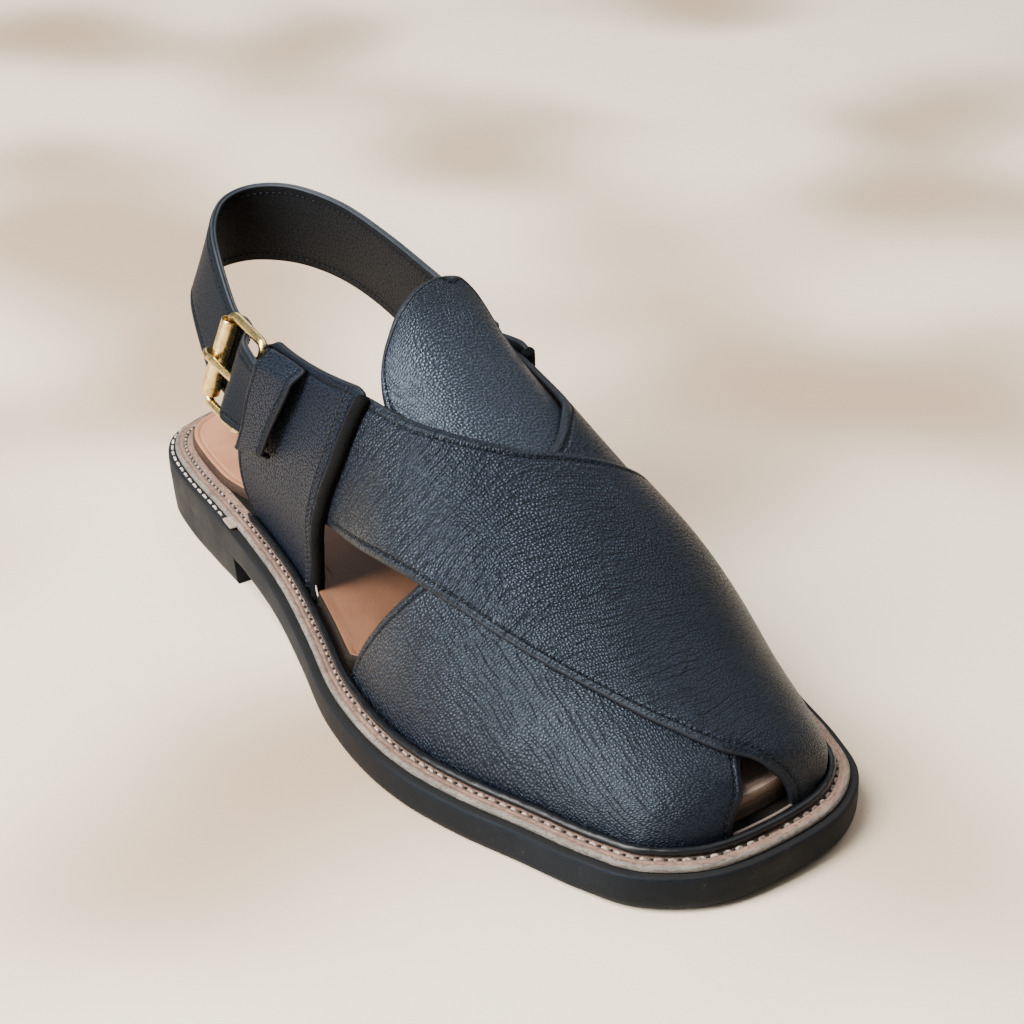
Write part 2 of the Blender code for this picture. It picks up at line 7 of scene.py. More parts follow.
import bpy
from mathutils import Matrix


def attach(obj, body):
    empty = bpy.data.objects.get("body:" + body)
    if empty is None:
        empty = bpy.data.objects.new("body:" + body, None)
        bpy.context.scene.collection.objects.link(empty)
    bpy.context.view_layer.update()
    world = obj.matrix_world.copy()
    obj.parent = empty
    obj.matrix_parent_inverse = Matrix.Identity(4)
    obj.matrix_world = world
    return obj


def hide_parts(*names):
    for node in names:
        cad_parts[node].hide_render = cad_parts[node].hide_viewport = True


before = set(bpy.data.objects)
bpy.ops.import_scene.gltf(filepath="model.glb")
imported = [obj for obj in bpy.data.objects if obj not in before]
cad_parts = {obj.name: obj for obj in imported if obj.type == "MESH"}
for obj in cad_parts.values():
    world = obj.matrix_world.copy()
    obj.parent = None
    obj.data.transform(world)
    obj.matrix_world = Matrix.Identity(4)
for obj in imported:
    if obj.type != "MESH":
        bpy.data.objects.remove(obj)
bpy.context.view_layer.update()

import math

import bmesh
import bpy
import numpy as np
from mathutils import Matrix

MM = 0.001
BOX_CENTRE_X = 3.45
LATERAL, MEDIAL = "lateral", "medial"

# --- the part's own tables, as in its source ---------------------------------------------------

OUTLINE = (
    # lateral_x, lateral_y, medial_x, medial_y
    (-2.0, -150.0, -2.0, -150.0),
    (17.0, -144.0, -20.5, -146.0),
    (27.5, -131.5, -32.5, -132.5),
    (33.0, -112.0, -37.0, -109.0),
    (36.5, -88.0, -35.5, -85.0),
    (39.5, -63.0, -32.0, -60.0),
    (43.5, -38.0, -30.5, -36.0),
    (50.5, -12.0, -34.0, -12.0),
    (58.5, 13.0, -42.5, 13.0),
    (63.0, 37.0, -51.5, 35.0),
    (63.5, 58.0, -56.5, 58.0),
    (60.0, 79.0, -56.0, 79.0),
    (54.0, 100.0, -50.5, 100.0),
    (48.5, 120.0, -44.5, 120.0),
    (41.0, 136.0, -36.5, 136.0),
    (24.5, 147.5, -20.5, 146.8),
    (2.0, 150.0, 2.0, 150.0),
)
STATIONS = len(OUTLINE) - 1
GAP = 0.3
RIM_AT_BALL, RIM_AT_HEEL = 10.1, 21.0
SLOPE_FROM_Y, SLOPE_TO_Y = -95.0, 20.0
TOE_SPRING, SPRING_FROM_Y, SPRING_LENGTH = 1.4, 55.0, 95.0
OUTSOLE_THICK = 10.2
HEEL_BREAST_Y = -72.0
MIDSOLE_INSET, MIDSOLE_THICK = 2.6, 1.6
CORD_INSET, CORD_RADIUS = 7.6, 1.2
CORD_END_STATION = 4.55
INSOLE_INSET_HEEL, INSOLE_INSET_FORE, INSOLE_INSET_TOE = 8.6, 13.9, 15.4
INSOLE_WINDOW_REACH = 4.4
INSOLE_THICK_HEEL, INSOLE_THICK_FORE = 3.0, 6.6
UPPER_INSET = 9.4
TRIM_ALLOWANCE = 1.5
LEATHER = 2.2

CREST = ((-150, 168), (-80, 160), (-60, 149), (-40, 133), (-20, 117), (-10, 109), (0, 101),
         (10, 94), (20, 87.5), (30, 81), (40, 75), (60, 64), (80, 52.5), (100, 42.5),
         (120, 34), (129, 30.2), (135, 26.5), (139, 21.5), (141, 15))
CREST_LEAN = ((-150, 0), (-60, -2), (0, -9), (60, -9), (110, -3), (141, 0))
ARCH_OVERHANG = ((-150, 0), (-100, -4), (-60, -9), (-25, -13), (5, -10), (40, -4), (80, 0), (141, 0))
FULLNESS = {LATERAL: 0.90, MEDIAL: 0.98}
LEAN_POWER, OVERHANG_POWER, OVERHANG_GAIN = 1.25, 1.7, 2.4

OVER_STRAP_LOWER = ((6.2, 0.07), (7.0, 0.105), (7.83, 0.15), (8.75, 0.195), (9.7, 0.23),
                    (10.65, 0.26), (11.6, 0.30), (12.5, 0.36), (13.3, 0.425), (13.97, 0.485),
                    (14.67, 0.58), (15.15, 0.70), (15.4, 0.84), (15.5, 1.0))
OVER_STRAP_UPPER = ((6.3, 0.21), (7.1, 0.28), (7.9, 0.355), (8.45, 0.425), (8.85, 0.495),
                    (9.08, 0.57), (9.18, 0.65), (9.1, 0.735), (8.9, 0.815), (8.45, 0.90),
                    (7.85, 1.0))
UNDER_STRAP_LOWER = ((6.2, 0.93), (7.0, 0.895), (7.83, 0.85), (8.75, 0.805), (9.7, 0.77),
                     (10.65, 0.74), (11.6, 0.70), (12.5, 0.64), (13.3, 0.57), (13.97, 0.495),
                     (14.77, 0.43), (15.1, 0.36), (15.4, 0.18), (15.54, 0.0))
UNDER_STRAP_UPPER = ((6.3, 0.79), (7.1, 0.72), (7.85, 0.675), (8.35, 0.605), (8.8, 0.535),
                     (9.05, 0.46), (9.17, 0.38), (9.12, 0.29), (8.94, 0.20), (8.45, 0.10),
                     (7.83, 0.0))
OVERLAP_LIFT, OVERLAP_RISES = 2.0, (0.03, 0.22)
OVERLAP_FALLS_STATION, OVERLAP_FALLS_AROUND = (14.2, 15.0), (0.86, 0.98)
TONGUE_LATERAL = ((9.6, 0.33), (8.6, 0.31), (7.8, 0.29), (7.25, 0.285), (6.98, 0.31),
                  (6.9, 0.37), (6.82, 0.46), (6.7, 0.54))
TONGUE_MEDIAL = ((9.6, 0.66), (8.9, 0.67), (8.2, 0.675), (7.6, 0.675), (7.15, 0.67),
                 (6.88, 0.66), (6.72, 0.635), (6.62, 0.60))
TONGUE_SINK, TONGUE_FLARE, TONGUE_FLARE_FROM = 3.1, 2.0, 0.55
QUARTER_FRONT = ((6.35, 0.0), (6.55, 0.06), (6.72, 0.12), (6.9, 0.185), (7.02, 0.285))
QUARTER_REAR = ((4.6, 0.0), (4.38, 0.02), (4.47, 0.07), (4.85, 0.125), (5.3, 0.18))
QUARTER_LIFT, QUARTER_LIFTS, QUARTER_DIP = 3.1, (0.05, 0.4), 0.015
STRAP_ROOT = ((6.35, 0.865, 6.35, 0.765, 6.0), (5.85, 0.87, 5.85, 0.778, 6.0),
              (5.3, 0.877, 5.3, 0.79, 6.0))
HEEL_STRAP = (
    # lower x, y, z, upper x, y, z
    (-34.5, -80.5, 72.3, -32.0, -81.0, 101.4),
    (-33.5, -106.0, 76.5, -29.0, -103.0, 106.0),
    (-27.0, -125.0, 79.0, -22.0, -121.0, 108.3),
    (-15.0, -137.0, 80.0, -12.0, -130.5, 108.2),
    (-2.0, -140.0, 79.5, -1.0, -131.8, 106.4),
    (10.0, -133.3, 79.0, 9.0, -123.5, 103.9),
    (20.8, -120.3, 77.0, 16.4, -110.5, 99.4),
)
STRAP_THICK = 2.4
STRAP_WIDTH_AT_BUCKLE = 25.6
SPARE_HOLE = 14.5
ROLLER_MIDDLE = (29.0, -87.0, 73.0)
ROLLER_UPPER_END = (25.1, -84.3, 86.9)
FOLD_BAR_MIDDLE = (29.7, -66.7, 70.2)
FRAME_WIRE_RADIUS = 1.5
FRAME_WIDTH, FRAME_CORNER = 31.0, 3.0
ROLLER_RADIUS, ROLLER_LENGTH = 3.1, 26.4
FOLD_RADIUS, FOLD_LENGTH = 3.2, 20.5
PRONG_RADIUS, PRONG_SLOT, PRONG_CLEAR = 1.2, 3.4, 0.4
# Radii of the prong's bends round the front bar and over the roller.
PRONG_EYE, PRONG_TIP = FRAME_WIRE_RADIUS + GAP + PRONG_RADIUS, ROLLER_RADIUS + GAP + PRONG_RADIUS
HOLE_RADIUS = 1.9
STRAP_THROUGH_BUCKLE = ((-7.0, 1.0, -3.3), (0.0, 0.8, -3.5), (4.0, 0.7, -2.9), (7.5, 0.6, -0.3),
                        (11.0, 0.6, 2.6), (14.5, 0.8, 4.9), (18.5, 1.0, 6.6))
STRAP_TIP = ((5.0, 0.08, 5.22, 0.152, 7.4), (5.2, 0.084, 5.4, 0.157, 6.1),
             (5.38, 0.088, 5.56, 0.162, 6.0))
KEEPER_REAR = ((4.84, 0.06), (5.06, 0.09), (5.19, 0.122), (5.33, 0.152), (5.4, 0.178))
KEEPER_FRONT = ((5.46, 0.08), (5.66, 0.113), (5.86, 0.147), (6.02, 0.18), (6.1, 0.21))
KEEPER_THICK, KEEPER_LIFT, KEEPER_RISE, KEEPER_FOOT = 1.8, 8.6, 1.0, 0.12

# --- sizes of the finer work, in mm ------------------------------------------------------------

SEAM = 2.5                  # stitch row to the edge of a panel
SEAM_DEPTH, SEAM_WIDTH = 0.42, 0.55
EDGE_ROLL, EDGE_ROLL_WIDTH = 0.55, 0.8
RELIEF_FADE = 6.0           # how far inside the seam a panel's relief reaches its full depth
PITCH, STITCH, THREAD = 2.1, 1.45, 0.3      # stitch spacing, length and thread radius
TURN_SPAN, TURN_CENTRE = (55.0, 125.0), 90.0     # where a panel's creases swing round
CELL = 1.4                  # mesh spacing on the broad of a panel
FAR = 50.0                  # distance to an edge where there is no seam to see
WELD = 0.002                # points nearer than this are one
SHARP = math.radians(50.0)  # edges that turn by more than this aren't smoothed
UP = (0.0, 0.0, 1.0)


def metres(points):
    return (np.asarray(points, float) - (BOX_CENTRE_X, 0.0, 0.0)) * MM


def smooth(start, end, value):
    """Share of the way from start to end, easing in and out."""
    t = np.clip((np.asarray(value, float) - start) / (end - start), 0.0, 1.0)
    return t * t * (3.0 - 2.0 * t)


def blend(start, end, t):
    return start + (end - start) * t


def hermite(p1, p2, m1, m2, t):
    return (p1 * (1 + 2 * t) * (1 - t) ** 2 + m1 * t * (1 - t) ** 2
            + p2 * t * t * (3 - 2 * t) + m2 * t * t * (t - 1))


def unit(vectors):
    return vectors / np.maximum(np.linalg.norm(vectors, axis=-1, keepdims=True), 1e-9)


def read_table(table, at):
    """Smooth curve through a table of (key, value) rows, at an array of keys."""
    keys, values = np.array(table, float).T
    slopes = np.gradient(values, keys)
    i = np.clip(np.searchsorted(keys, at) - 1, 0, len(keys) - 2)
    width = keys[i + 1] - keys[i]
    t = np.clip((at - keys[i]) / width, 0.0, 1.0)
    return hermite(values[i], values[i + 1], slopes[i] * width, slopes[i + 1] * width, t)


def along(points, t):
    """Points at the fractions t of a smooth line through the points."""
    points = np.array(points, float)
    place = np.clip(np.asarray(t, float), 0.0, 1.0) * (len(points) - 1)
    i = np.minimum(place.astype(int), len(points) - 2)
    before, after = points[np.maximum(i - 1, 0)], points[np.minimum(i + 2, len(points) - 1)]
    return hermite(points[i], points[i + 1], (points[i + 1] - before) / 2,
                   (after - points[i]) / 2, (place - i)[..., None])


LOOP = np.vstack((np.array(OUTLINE)[:, :2], np.array(OUTLINE)[-2:0:-1, 2:]))


def outline_point(side, station, inset=0.0):
    """Points on the outline, set in from the edge along its normal."""
    station = np.asarray(station, float)
    place = station if side == LATERAL else 2 * STATIONS - station
    i = np.floor(place).astype(int)
    t = (place - i)[..., None]
    p0, p1, p2, p3 = (LOOP[(i + k) % len(LOOP)] for k in (-1, 0, 1, 2))
    m1, m2 = (p2 - p0) / 2, (p3 - p1) / 2
    tangent = unit((p1 - p2) * (6 * t * t - 6 * t) + m1 * (3 * t * t - 4 * t + 1)
                   + m2 * (3 * t * t - 2 * t))
    normal = np.stack((-tangent[..., 1], tangent[..., 0]), -1)
    return hermite(p1, p2, m1, m2, t) + normal * np.asarray(inset, float)[..., None]


def rim_top(y):
    slope = 1.0 - smooth(SLOPE_FROM_Y, SLOPE_TO_Y, y)
    spring = np.maximum((y - SPRING_FROM_Y) / SPRING_LENGTH, 0.0) ** 2
    return blend(RIM_AT_BALL, RIM_AT_HEEL, slope) + TOE_SPRING * spring


def underside(y):
    return np.maximum(rim_top(y) - OUTSOLE_THICK, 0.0)


def midsole_top(y):
    return rim_top(y) + GAP + MIDSOLE_THICK


def insole_inset(y):
    """Inset of the insole, without its extra reach in the windows."""
    fore = blend(INSOLE_INSET_FORE, INSOLE_INSET_TOE, smooth(110.0, 135.0, y))
    return blend(INSOLE_INSET_HEEL, fore, smooth(-98.0, -72.0, y))


def insole_top(y):
    return midsole_top(y) + GAP + blend(INSOLE_THICK_HEEL, INSOLE_THICK_FORE, smooth(-90.0, 40.0, y))


def last_surface(station, around):
    """Points on the last: around is 0 at the lateral feather line, 0.5 on the crest, 1 medially."""
    lateral = outline_point(LATERAL, station, UPPER_INSET)
    medial = outline_point(MEDIAL, station, UPPER_INSET)
    middle, half = (lateral + medial) / 2, (lateral - medial) / 2
    cosine, sine = np.cos(np.pi * around), np.maximum(np.sin(np.pi * around), 0.0)
    fullness = np.where(cosine > 0, FULLNESS[LATERAL], FULLNESS[MEDIAL])
    rise = sine ** fullness
    swing = np.sign(cosine) * np.abs(cosine) ** fullness
    x, y = np.moveaxis(middle + half * swing[..., None], -1, 0)
    feather = midsole_top(y) - TRIM_ALLOWANCE
    z = blend(feather, read_table(CREST, middle[..., 1]), rise)
    x = x + read_table(CREST_LEAN, middle[..., 1]) * rise ** LEAN_POWER
    overhang = read_table(ARCH_OVERHANG, middle[..., 1]) * OVERHANG_GAIN * rise ** OVERHANG_POWER * cosine
    return np.stack((np.where(cosine < 0, x - overhang, x), y, z), -1)


def last_point(station, around, lift=0.0):
    """Points on the last, lifted off its surface."""
    station, around = np.broadcast_arrays(np.asarray(station, float), np.asarray(around, float))
    step = 0.01
    ahead = last_surface(np.minimum(station + step, STATIONS), around)
    behind = last_surface(station - step, around)
    over = last_surface(station, np.minimum(around + step, 1.0))
    under = last_surface(station, np.maximum(around - step, 0.0))
    normal = unit(np.cross(ahead - behind, over - under))
    lift = np.broadcast_to(np.asarray(lift, float), station.shape)
    return last_surface(station, around) + normal * lift[..., None]


# --- meshes ------------------------------------------------------------------------------------

class Mesh:
    """Gathers vertices, faces, material slots and the two attributes that the materials read."""

    def __init__(self):
        self.points, self.faces, self.slots, self.grain, self.edge = [], [], [], [], []
        self.count = 0

    def add(self, points, faces, slot=0, grain=None, edge=None):
        points = np.asarray(points, float).reshape(-1, 3)
        faces = np.asarray(faces)
        self.points.append(points)
        self.faces += (faces + self.count).tolist()
        self.slots += [slot] * len(faces)
        self.grain.append(points if grain is None else np.asarray(grain, float).reshape(-1, 3))
        edge = np.full(len(points), FAR) if edge is None else np.asarray(edge, float).ravel()
        self.edge.append(edge)
        first, self.count = self.count, self.count + len(points)
        return first

    def close(self, low, high, slot=0):
        """Adds a band of quads between two closed rows of vertex numbers."""
        self.faces += strip_faces(low, high).tolist()
        self.slots += [slot] * len(low)

    def tube(self, rings, slot=0, grain=None, cyclic=False):
        """Adds a tube through rings of points, closed on itself or with a cap at each end."""
        index = np.arange(rings[..., 0].size).reshape(rings.shape[:2])
        following = np.roll(index, -1, 0)
        pairs = list(zip(index, following))[:None if cyclic else -1]
        first = self.add(rings, np.vstack([strip_faces(*pair) for pair in pairs]), slot, grain)
        if not cyclic:
            self.faces += [(index[0, ::-1] + first).tolist(), (index[-1] + first).tolist()]
            self.slots += [slot] * 2

    def piece(self, name, looks, nodes=(), slot=None):
        """Makes the object, which rides on the body and stands for the CAD nodes."""
        data = bpy.data.meshes.new(name)
        data.from_pydata(metres(np.vstack(self.points)).tolist(), [], self.faces)
        for look in looks:
            data.materials.append(look)
        data.polygons.foreach_set("material_index", np.array(self.slots, np.int32))
        for label, kind, key, rows in (("grain", "FLOAT_VECTOR", "vector", self.grain),
                                       ("edge", "FLOAT", "value", self.edge)):
            values = np.concatenate(rows).astype(np.float32).ravel()
            data.attributes.new(label, kind, "POINT").data.foreach_set(key, values)
        bm = bmesh.new()
        bm.from_mesh(data)
        bmesh.ops.remove_doubles(bm, verts=bm.verts, dist=WELD * MM)
        bmesh.ops.dissolve_degenerate(bm, edges=bm.edges, dist=WELD * MM)
        bm.to_mesh(data)
        bm.free()
        data.shade_smooth()
        data.set_sharp_from_angle(angle=SHARP)
        obj = bpy.data.objects.new(name, data)
        bpy.context.scene.collection.objects.link(obj)
        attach(obj, "root")
        if nodes:
            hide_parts(*nodes)
        return obj


def grid_faces(rows, columns, flip=False):
    i, j = np.meshgrid(np.arange(rows - 1), np.arange(columns - 1), indexing="ij")
    a = (i * columns + j).ravel()
    quads = np.stack((a, a + columns, a + columns + 1, a + 1), 1)
    return quads[:, ::-1] if flip else quads


def strip_faces(low, high):
    """Quads between two closed rows of vertex numbers."""
    return np.stack((low, np.roll(low, -1), np.roll(high, -1), high), 1)


def lengths(points, axis):
    """Running length of a grid of points along one axis."""
    steps = np.linalg.norm(np.diff(points, axis=axis), axis=-1)
    start = np.zeros_like(np.take(steps, [0], axis))
    return np.concatenate((start, np.cumsum(steps, axis)), axis)


NO_FACES = np.zeros((0, 4), int)
# Distances from a seamed edge at which a panel has points.
FINE = np.array((0.0, 0.35, 0.7, 1.05, 1.4, 1.75, 2.1, 2.45, 2.8, 3.15, 3.6, 4.3))
COARSE = np.linspace(0, 1, 90)              # places at which a panel is first measured


def spaced(length, rows, fine_start, fine_end):
    """Distances along a length, close together near the ends that carry a seam."""
    squeeze = min(1.0, length / (2.6 * FINE[-1]))
    start = FINE * squeeze if fine_start else np.zeros(1)
    end = length - FINE[::-1] * squeeze if fine_end else np.array([length])
    return np.concatenate((start, np.linspace(start[-1], end[0], rows + 2)[1:-1], end))


class Panel:
    """Leather panel: a dense grid of its outer face, with the edges that are stitched.

    point gives places for shares u and v of the panel; seams names the edges: start and end of
    u, low and high of v; cell is the mesh spacing, roll the depth of the rolled edge, seam the
    distance of the stitch row, and soft_creases a table of creases on the last."""

    def __init__(self, point, seams="", flip=False, cell=CELL, soft_creases=(), roll=EDGE_ROLL,
                 turn=(0.0, 0.0), seam=SEAM):
        run = lengths(point(*np.meshgrid(COARSE, COARSE, indexing="ij")), 0).mean(1)
        rows = max(int(run[-1] / cell), 2)
        u = np.interp(spaced(run[-1], rows, "start" in seams, "end" in seams), run, COARSE)
        across = lengths(point(*np.meshgrid(u, COARSE, indexing="ij")), 1)
        columns = max(int(across[:, -1].max() / cell), 2)
        v = np.stack([np.interp(spaced(row[-1], columns, "low" in seams, "high" in seams), row, COARSE)
                      for row in across])
        self.points = point(np.broadcast_to(u[:, None], v.shape), v)
        self.flip, self.turn, self.seam = flip, turn, seam
        normals = np.cross(np.gradient(self.points, axis=0), np.gradient(self.points, axis=1))
        self.normals = unit(-normals if flip else normals)
        self.u_run, self.v_run = lengths(self.points, 0), lengths(self.points, 1)
        self.reach = {"start": self.u_run, "end": self.u_run[-1:] - self.u_run,
                      "low": self.v_run, "high": self.v_run[:, -1:] - self.v_run}
        reaches = [np.full(v.shape, FAR)] + [self.reach[side] for side in seams.split()]
        self.edge = np.minimum.reduce(reaches) * (SEAM / seam)
        shape = -roll * np.exp(-(self.edge / EDGE_ROLL_WIDTH) ** 2)
        shape -= SEAM_DEPTH * np.exp(-((self.edge - SEAM) / SEAM_WIDTH) ** 2)
        if soft_creases:
            shape += creases(self.points, soft_creases) * smooth(SEAM, SEAM + RELIEF_FADE, self.edge)
        self.outer = self.points + self.normals * shape[..., None]

    def grain(self):
        """Millimetres across the creases, then along them; turn swings them off the panel's v."""
        run = self.u_run.mean(1, keepdims=True)
        swing = np.radians(blend(*self.turn, smooth(*TURN_SPAN, run)))
        ahead, across = run - TURN_CENTRE, self.v_run - self.v_run[:, -1:] / 2
        cosine, sine = np.cos(swing), np.sin(swing)
        return np.stack((ahead * cosine + across * sine, across * cosine - ahead * sine, 0 * across), -1)

    def row(self, side, distance=None):
        """Line on the outer face at a distance from one edge, with its normals."""
        axis = 0 if side in ("low", "high") else 1
        distance = self.seam if distance is None else distance
        lines = []
        for field in (self.outer, self.normals):
            rows = zip(np.moveaxis(self.reach[side], axis, 0), np.moveaxis(field, axis, 0))
            lines.append(np.array([[np.interp(distance, np.sort(run), line[np.argsort(run), k])
                                    for k in range(3)] for run, line in rows]))
        return lines[0], unit(lines[1])

    def sheet(self, thick, profile):
        """Closed sheet with its face, rim and back in material slots 0, 1 and 2.

        The rim is shaped by a profile of (depth as a share of the thickness, bulge in mm)."""
        mesh = Mesh()
        shape = self.points.shape[:2]
        grain, edge = self.grain(), self.edge
        inner = self.points - self.normals * thick
        first = mesh.add(self.outer, grid_faces(*shape, self.flip), 0, grain, edge)
        back = mesh.add(inner, grid_faces(*shape, not self.flip), 2, grain, edge)
        index = np.arange(shape[0] * shape[1]).reshape(shape)
        ring = np.concatenate((index[:-1, 0], index[-1, :-1], index[:0:-1, -1], index[0, :0:-1]))
        if self.flip:
            ring = ring[::-1]
        top, bottom = self.outer.reshape(-1, 3)[ring], inner.reshape(-1, 3)[ring]
        normal = self.normals.reshape(-1, 3)[ring]
        outward = unit(np.cross(np.roll(top, -1, 0) - np.roll(top, 1, 0), normal))
        above = ring + first
        for depth, bulge in profile:
            points = blend(top, bottom, depth) + outward * bulge
            stretched = grain.reshape(-1, 3)[ring] + np.array((0.0, 0.0, depth * thick))
            below = np.arange(len(ring)) + mesh.add(points, NO_FACES, 0, stretched, 0.0 * ring)
            mesh.close(below, above, 1)
            above = below
        mesh.close(ring + back, above, 1)
        return mesh


# Rims of one leather and of two glued back to back.
SINGLE_RIM = ((0.06, 0.2), (0.2, 0.42), (0.4, 0.52), (0.6, 0.52), (0.8, 0.4), (0.94, 0.18))
DOUBLE_RIM = ((0.04, 0.15), (0.14, 0.34), (0.3, 0.4), (0.42, 0.3), (0.48, 0.08), (0.54, 0.06),
              (0.6, 0.3), (0.72, 0.42), (0.88, 0.34), (0.96, 0.14))


def resample(path, normals, places):
    """Points and unit normals at running lengths along a path."""
    run = lengths(path, 0)
    pick = lambda field: np.stack([np.interp(places, run, field[:, k]) for k in range(3)], -1)
    return pick(path), unit(pick(np.broadcast_to(normals, path.shape)))


# One stitch: share of its length, then width and height as shares of the thread's radius.
STRAND = ((0.0, 0.45, -1.1), (0.12, 0.85, -0.1), (0.3, 1.0, 0.3), (0.5, 1.0, 0.4), (0.7, 1.0, 0.3),
          (0.88, 0.85, -0.1), (1.0, 0.45, -1.1))
STRAND_FLATNESS = 0.85


def stitches(mesh, path, normals, pitch=PITCH, length=STITCH, radius=THREAD, slot=0, lift=0.05,
             slant=0.0, shift=0.5):
    """Row of thread stitches, each a rounded strand whose ends dive into the leather.

    slant leans them across the row, in mm, and shift is where the first one lies, in pitches."""
    count = int(lengths(path, 0)[-1] / pitch)
    starts = (np.arange(count) + shift) * pitch - length / 2
    shares, widths, heights = np.transpose(STRAND)
    heights = heights * radius + lift
    middle, up = resample(path, normals, starts[:, None] + shares * length)
    tangent = unit(middle[:, -1:] - middle[:, :1])
    side = unit(np.cross(tangent, up))
    middle = middle + side * ((shares - 0.5) * slant)[:, None] + up * heights[:, None]
    angles = np.arange(6)[:, None] * np.pi / 3
    ring = side[..., None, :] * np.cos(angles) + up[..., None, :] * np.sin(angles) * STRAND_FLATNESS
    for strand in middle[..., None, :] + ring * (widths * radius)[:, None, None]:
        mesh.tube(strand[::-1], slot)


def sweep(mesh, path, radius, sides, cyclic=False, up=UP):
    """Round bar along a path; radius may vary along it."""
    path = np.asarray(path, float)
    radius = np.broadcast_to(np.asarray(radius, float), len(path))
    if cyclic:
        tangent = unit(np.roll(path, -1, 0) - np.roll(path, 1, 0))
    else:
        tangent = unit(np.gradient(path, axis=0))
    frames, side = [], np.array(up, float)
    for t in tangent:
        side = unit(side - t * (side @ t))
        frames.append(side)
    frames = np.array(frames)
    other = np.cross(tangent, frames)
    angles = np.linspace(0, 2 * np.pi, sides, endpoint=False)
    rings = path[:, None] + radius[:, None, None] * (
        frames[:, None] * np.cos(angles)[:, None] + other[:, None] * np.sin(angles)[:, None])
    run = lengths(path, 0)[:, None]
    grain = np.stack((run + 0 * angles, radius[:, None] * angles, 0 * rings[..., 0]), -1)
    mesh.tube(rings, 0, grain, cyclic)


# --- sole --------------------------------------------------------------------------------------

STEPS_PER_STATION = 14
SIDE_STEPS = STATIONS * STEPS_PER_STATION


def ring_points(inset, height):
    """Closed loop round the sole, at an inset and a height that may depend on y."""
    station = np.arange(SIDE_STEPS + 1) / STEPS_PER_STATION
    loops = []
    for side in (LATERAL, MEDIAL):
        edge_y = outline_point(side, station)[:, 1]
        x, y = outline_point(side, station, inset(edge_y)).T
        loops.append(np.stack((x, y, height(y)), 1))
    return np.vstack((loops[0], loops[1][-2:0:-1]))


def loft(rings, slots, cover=None, rows=24):
    """Stack of rings, each (inset(y), height(y)), closed above and below by grids.

    slots has the material of each band between two rings; cover shapes the upper grid."""
    mesh = Mesh()
    loops = np.array([ring_points(inset, height) for inset, height in rings])
    index = np.arange(loops.shape[1])
    run = lengths(loops[0], 0)
    depths = np.append(0.0, np.cumsum(np.linalg.norm(np.diff(loops, axis=0), axis=-1).mean(1)))
    for k, (loop, depth) in enumerate(zip(loops, depths)):
        grain = np.stack((run, 0 * run + depth, 0 * run), 1)
        first = mesh.add(loop, NO_FACES, 0, grain, 0 * run + depth)
        if k:
            mesh.close(index + first - len(index), index + first, slots[k - 1])
    share = (1 - np.cos(np.linspace(0, np.pi, rows))) / 2
    for loop, upward, slot in ((loops[0], False, slots[0]), (loops[-1], True, slots[-1])):
        lateral = loop[:SIDE_STEPS + 1, None]
        medial = np.vstack((loop[:1], loop[:SIDE_STEPS - 1:-1]))[:, None]
        grid = blend(lateral, medial, share[:, None])
        if upward and cover:
            edges = [np.linalg.norm(grid - edge, axis=-1) for edge in (lateral, medial)]
            grid[..., 2] += cover(grid[..., 0], grid[..., 1], np.minimum(*edges))
        mesh.add(grid, grid_faces(SIDE_STEPS + 1, rows, not upward), slot)
    return mesh


def constant(value):
    return lambda y: np.full_like(y, value)


# Stitch rows on the heel's rim: side and last station of each.
HEEL_ROW_ENDS, HEEL_ROW_INSET = ((LATERAL, 4.35), (MEDIAL, 4.45)), 1.55
TOE_STRIP_FROM, TOE_STRIP_RADIUS = 15.35, 0.45
GROOVE_FROM = 2.2           # how far in from the insole's side its groove starts
HEEL_STITCH = {"pitch": 4.3, "length": 3.0, "radius": 0.46, "lift": 0.08}
WELT_ROW_INSET, WELT_ROW_SINK = 6.15, 0.3
WELT_STITCH = {"radius": 0.43, "lift": 0.08, "slant": 0.25, "slot": 1}
WELT_HOLE = {"radius": 0.46, "lift": -0.02, "shift": 1.0, "slot": 2}
WELT_ROWS = (
    # first station, last station, pitch, stitch, hole
    (0.0, 4.0, 2.7, 1.6, 1.0),
    (4.0, 8.5, 3.2, 1.8, 1.3),
    (8.5, 16.0, 3.7, 2.5, 1.3),
)


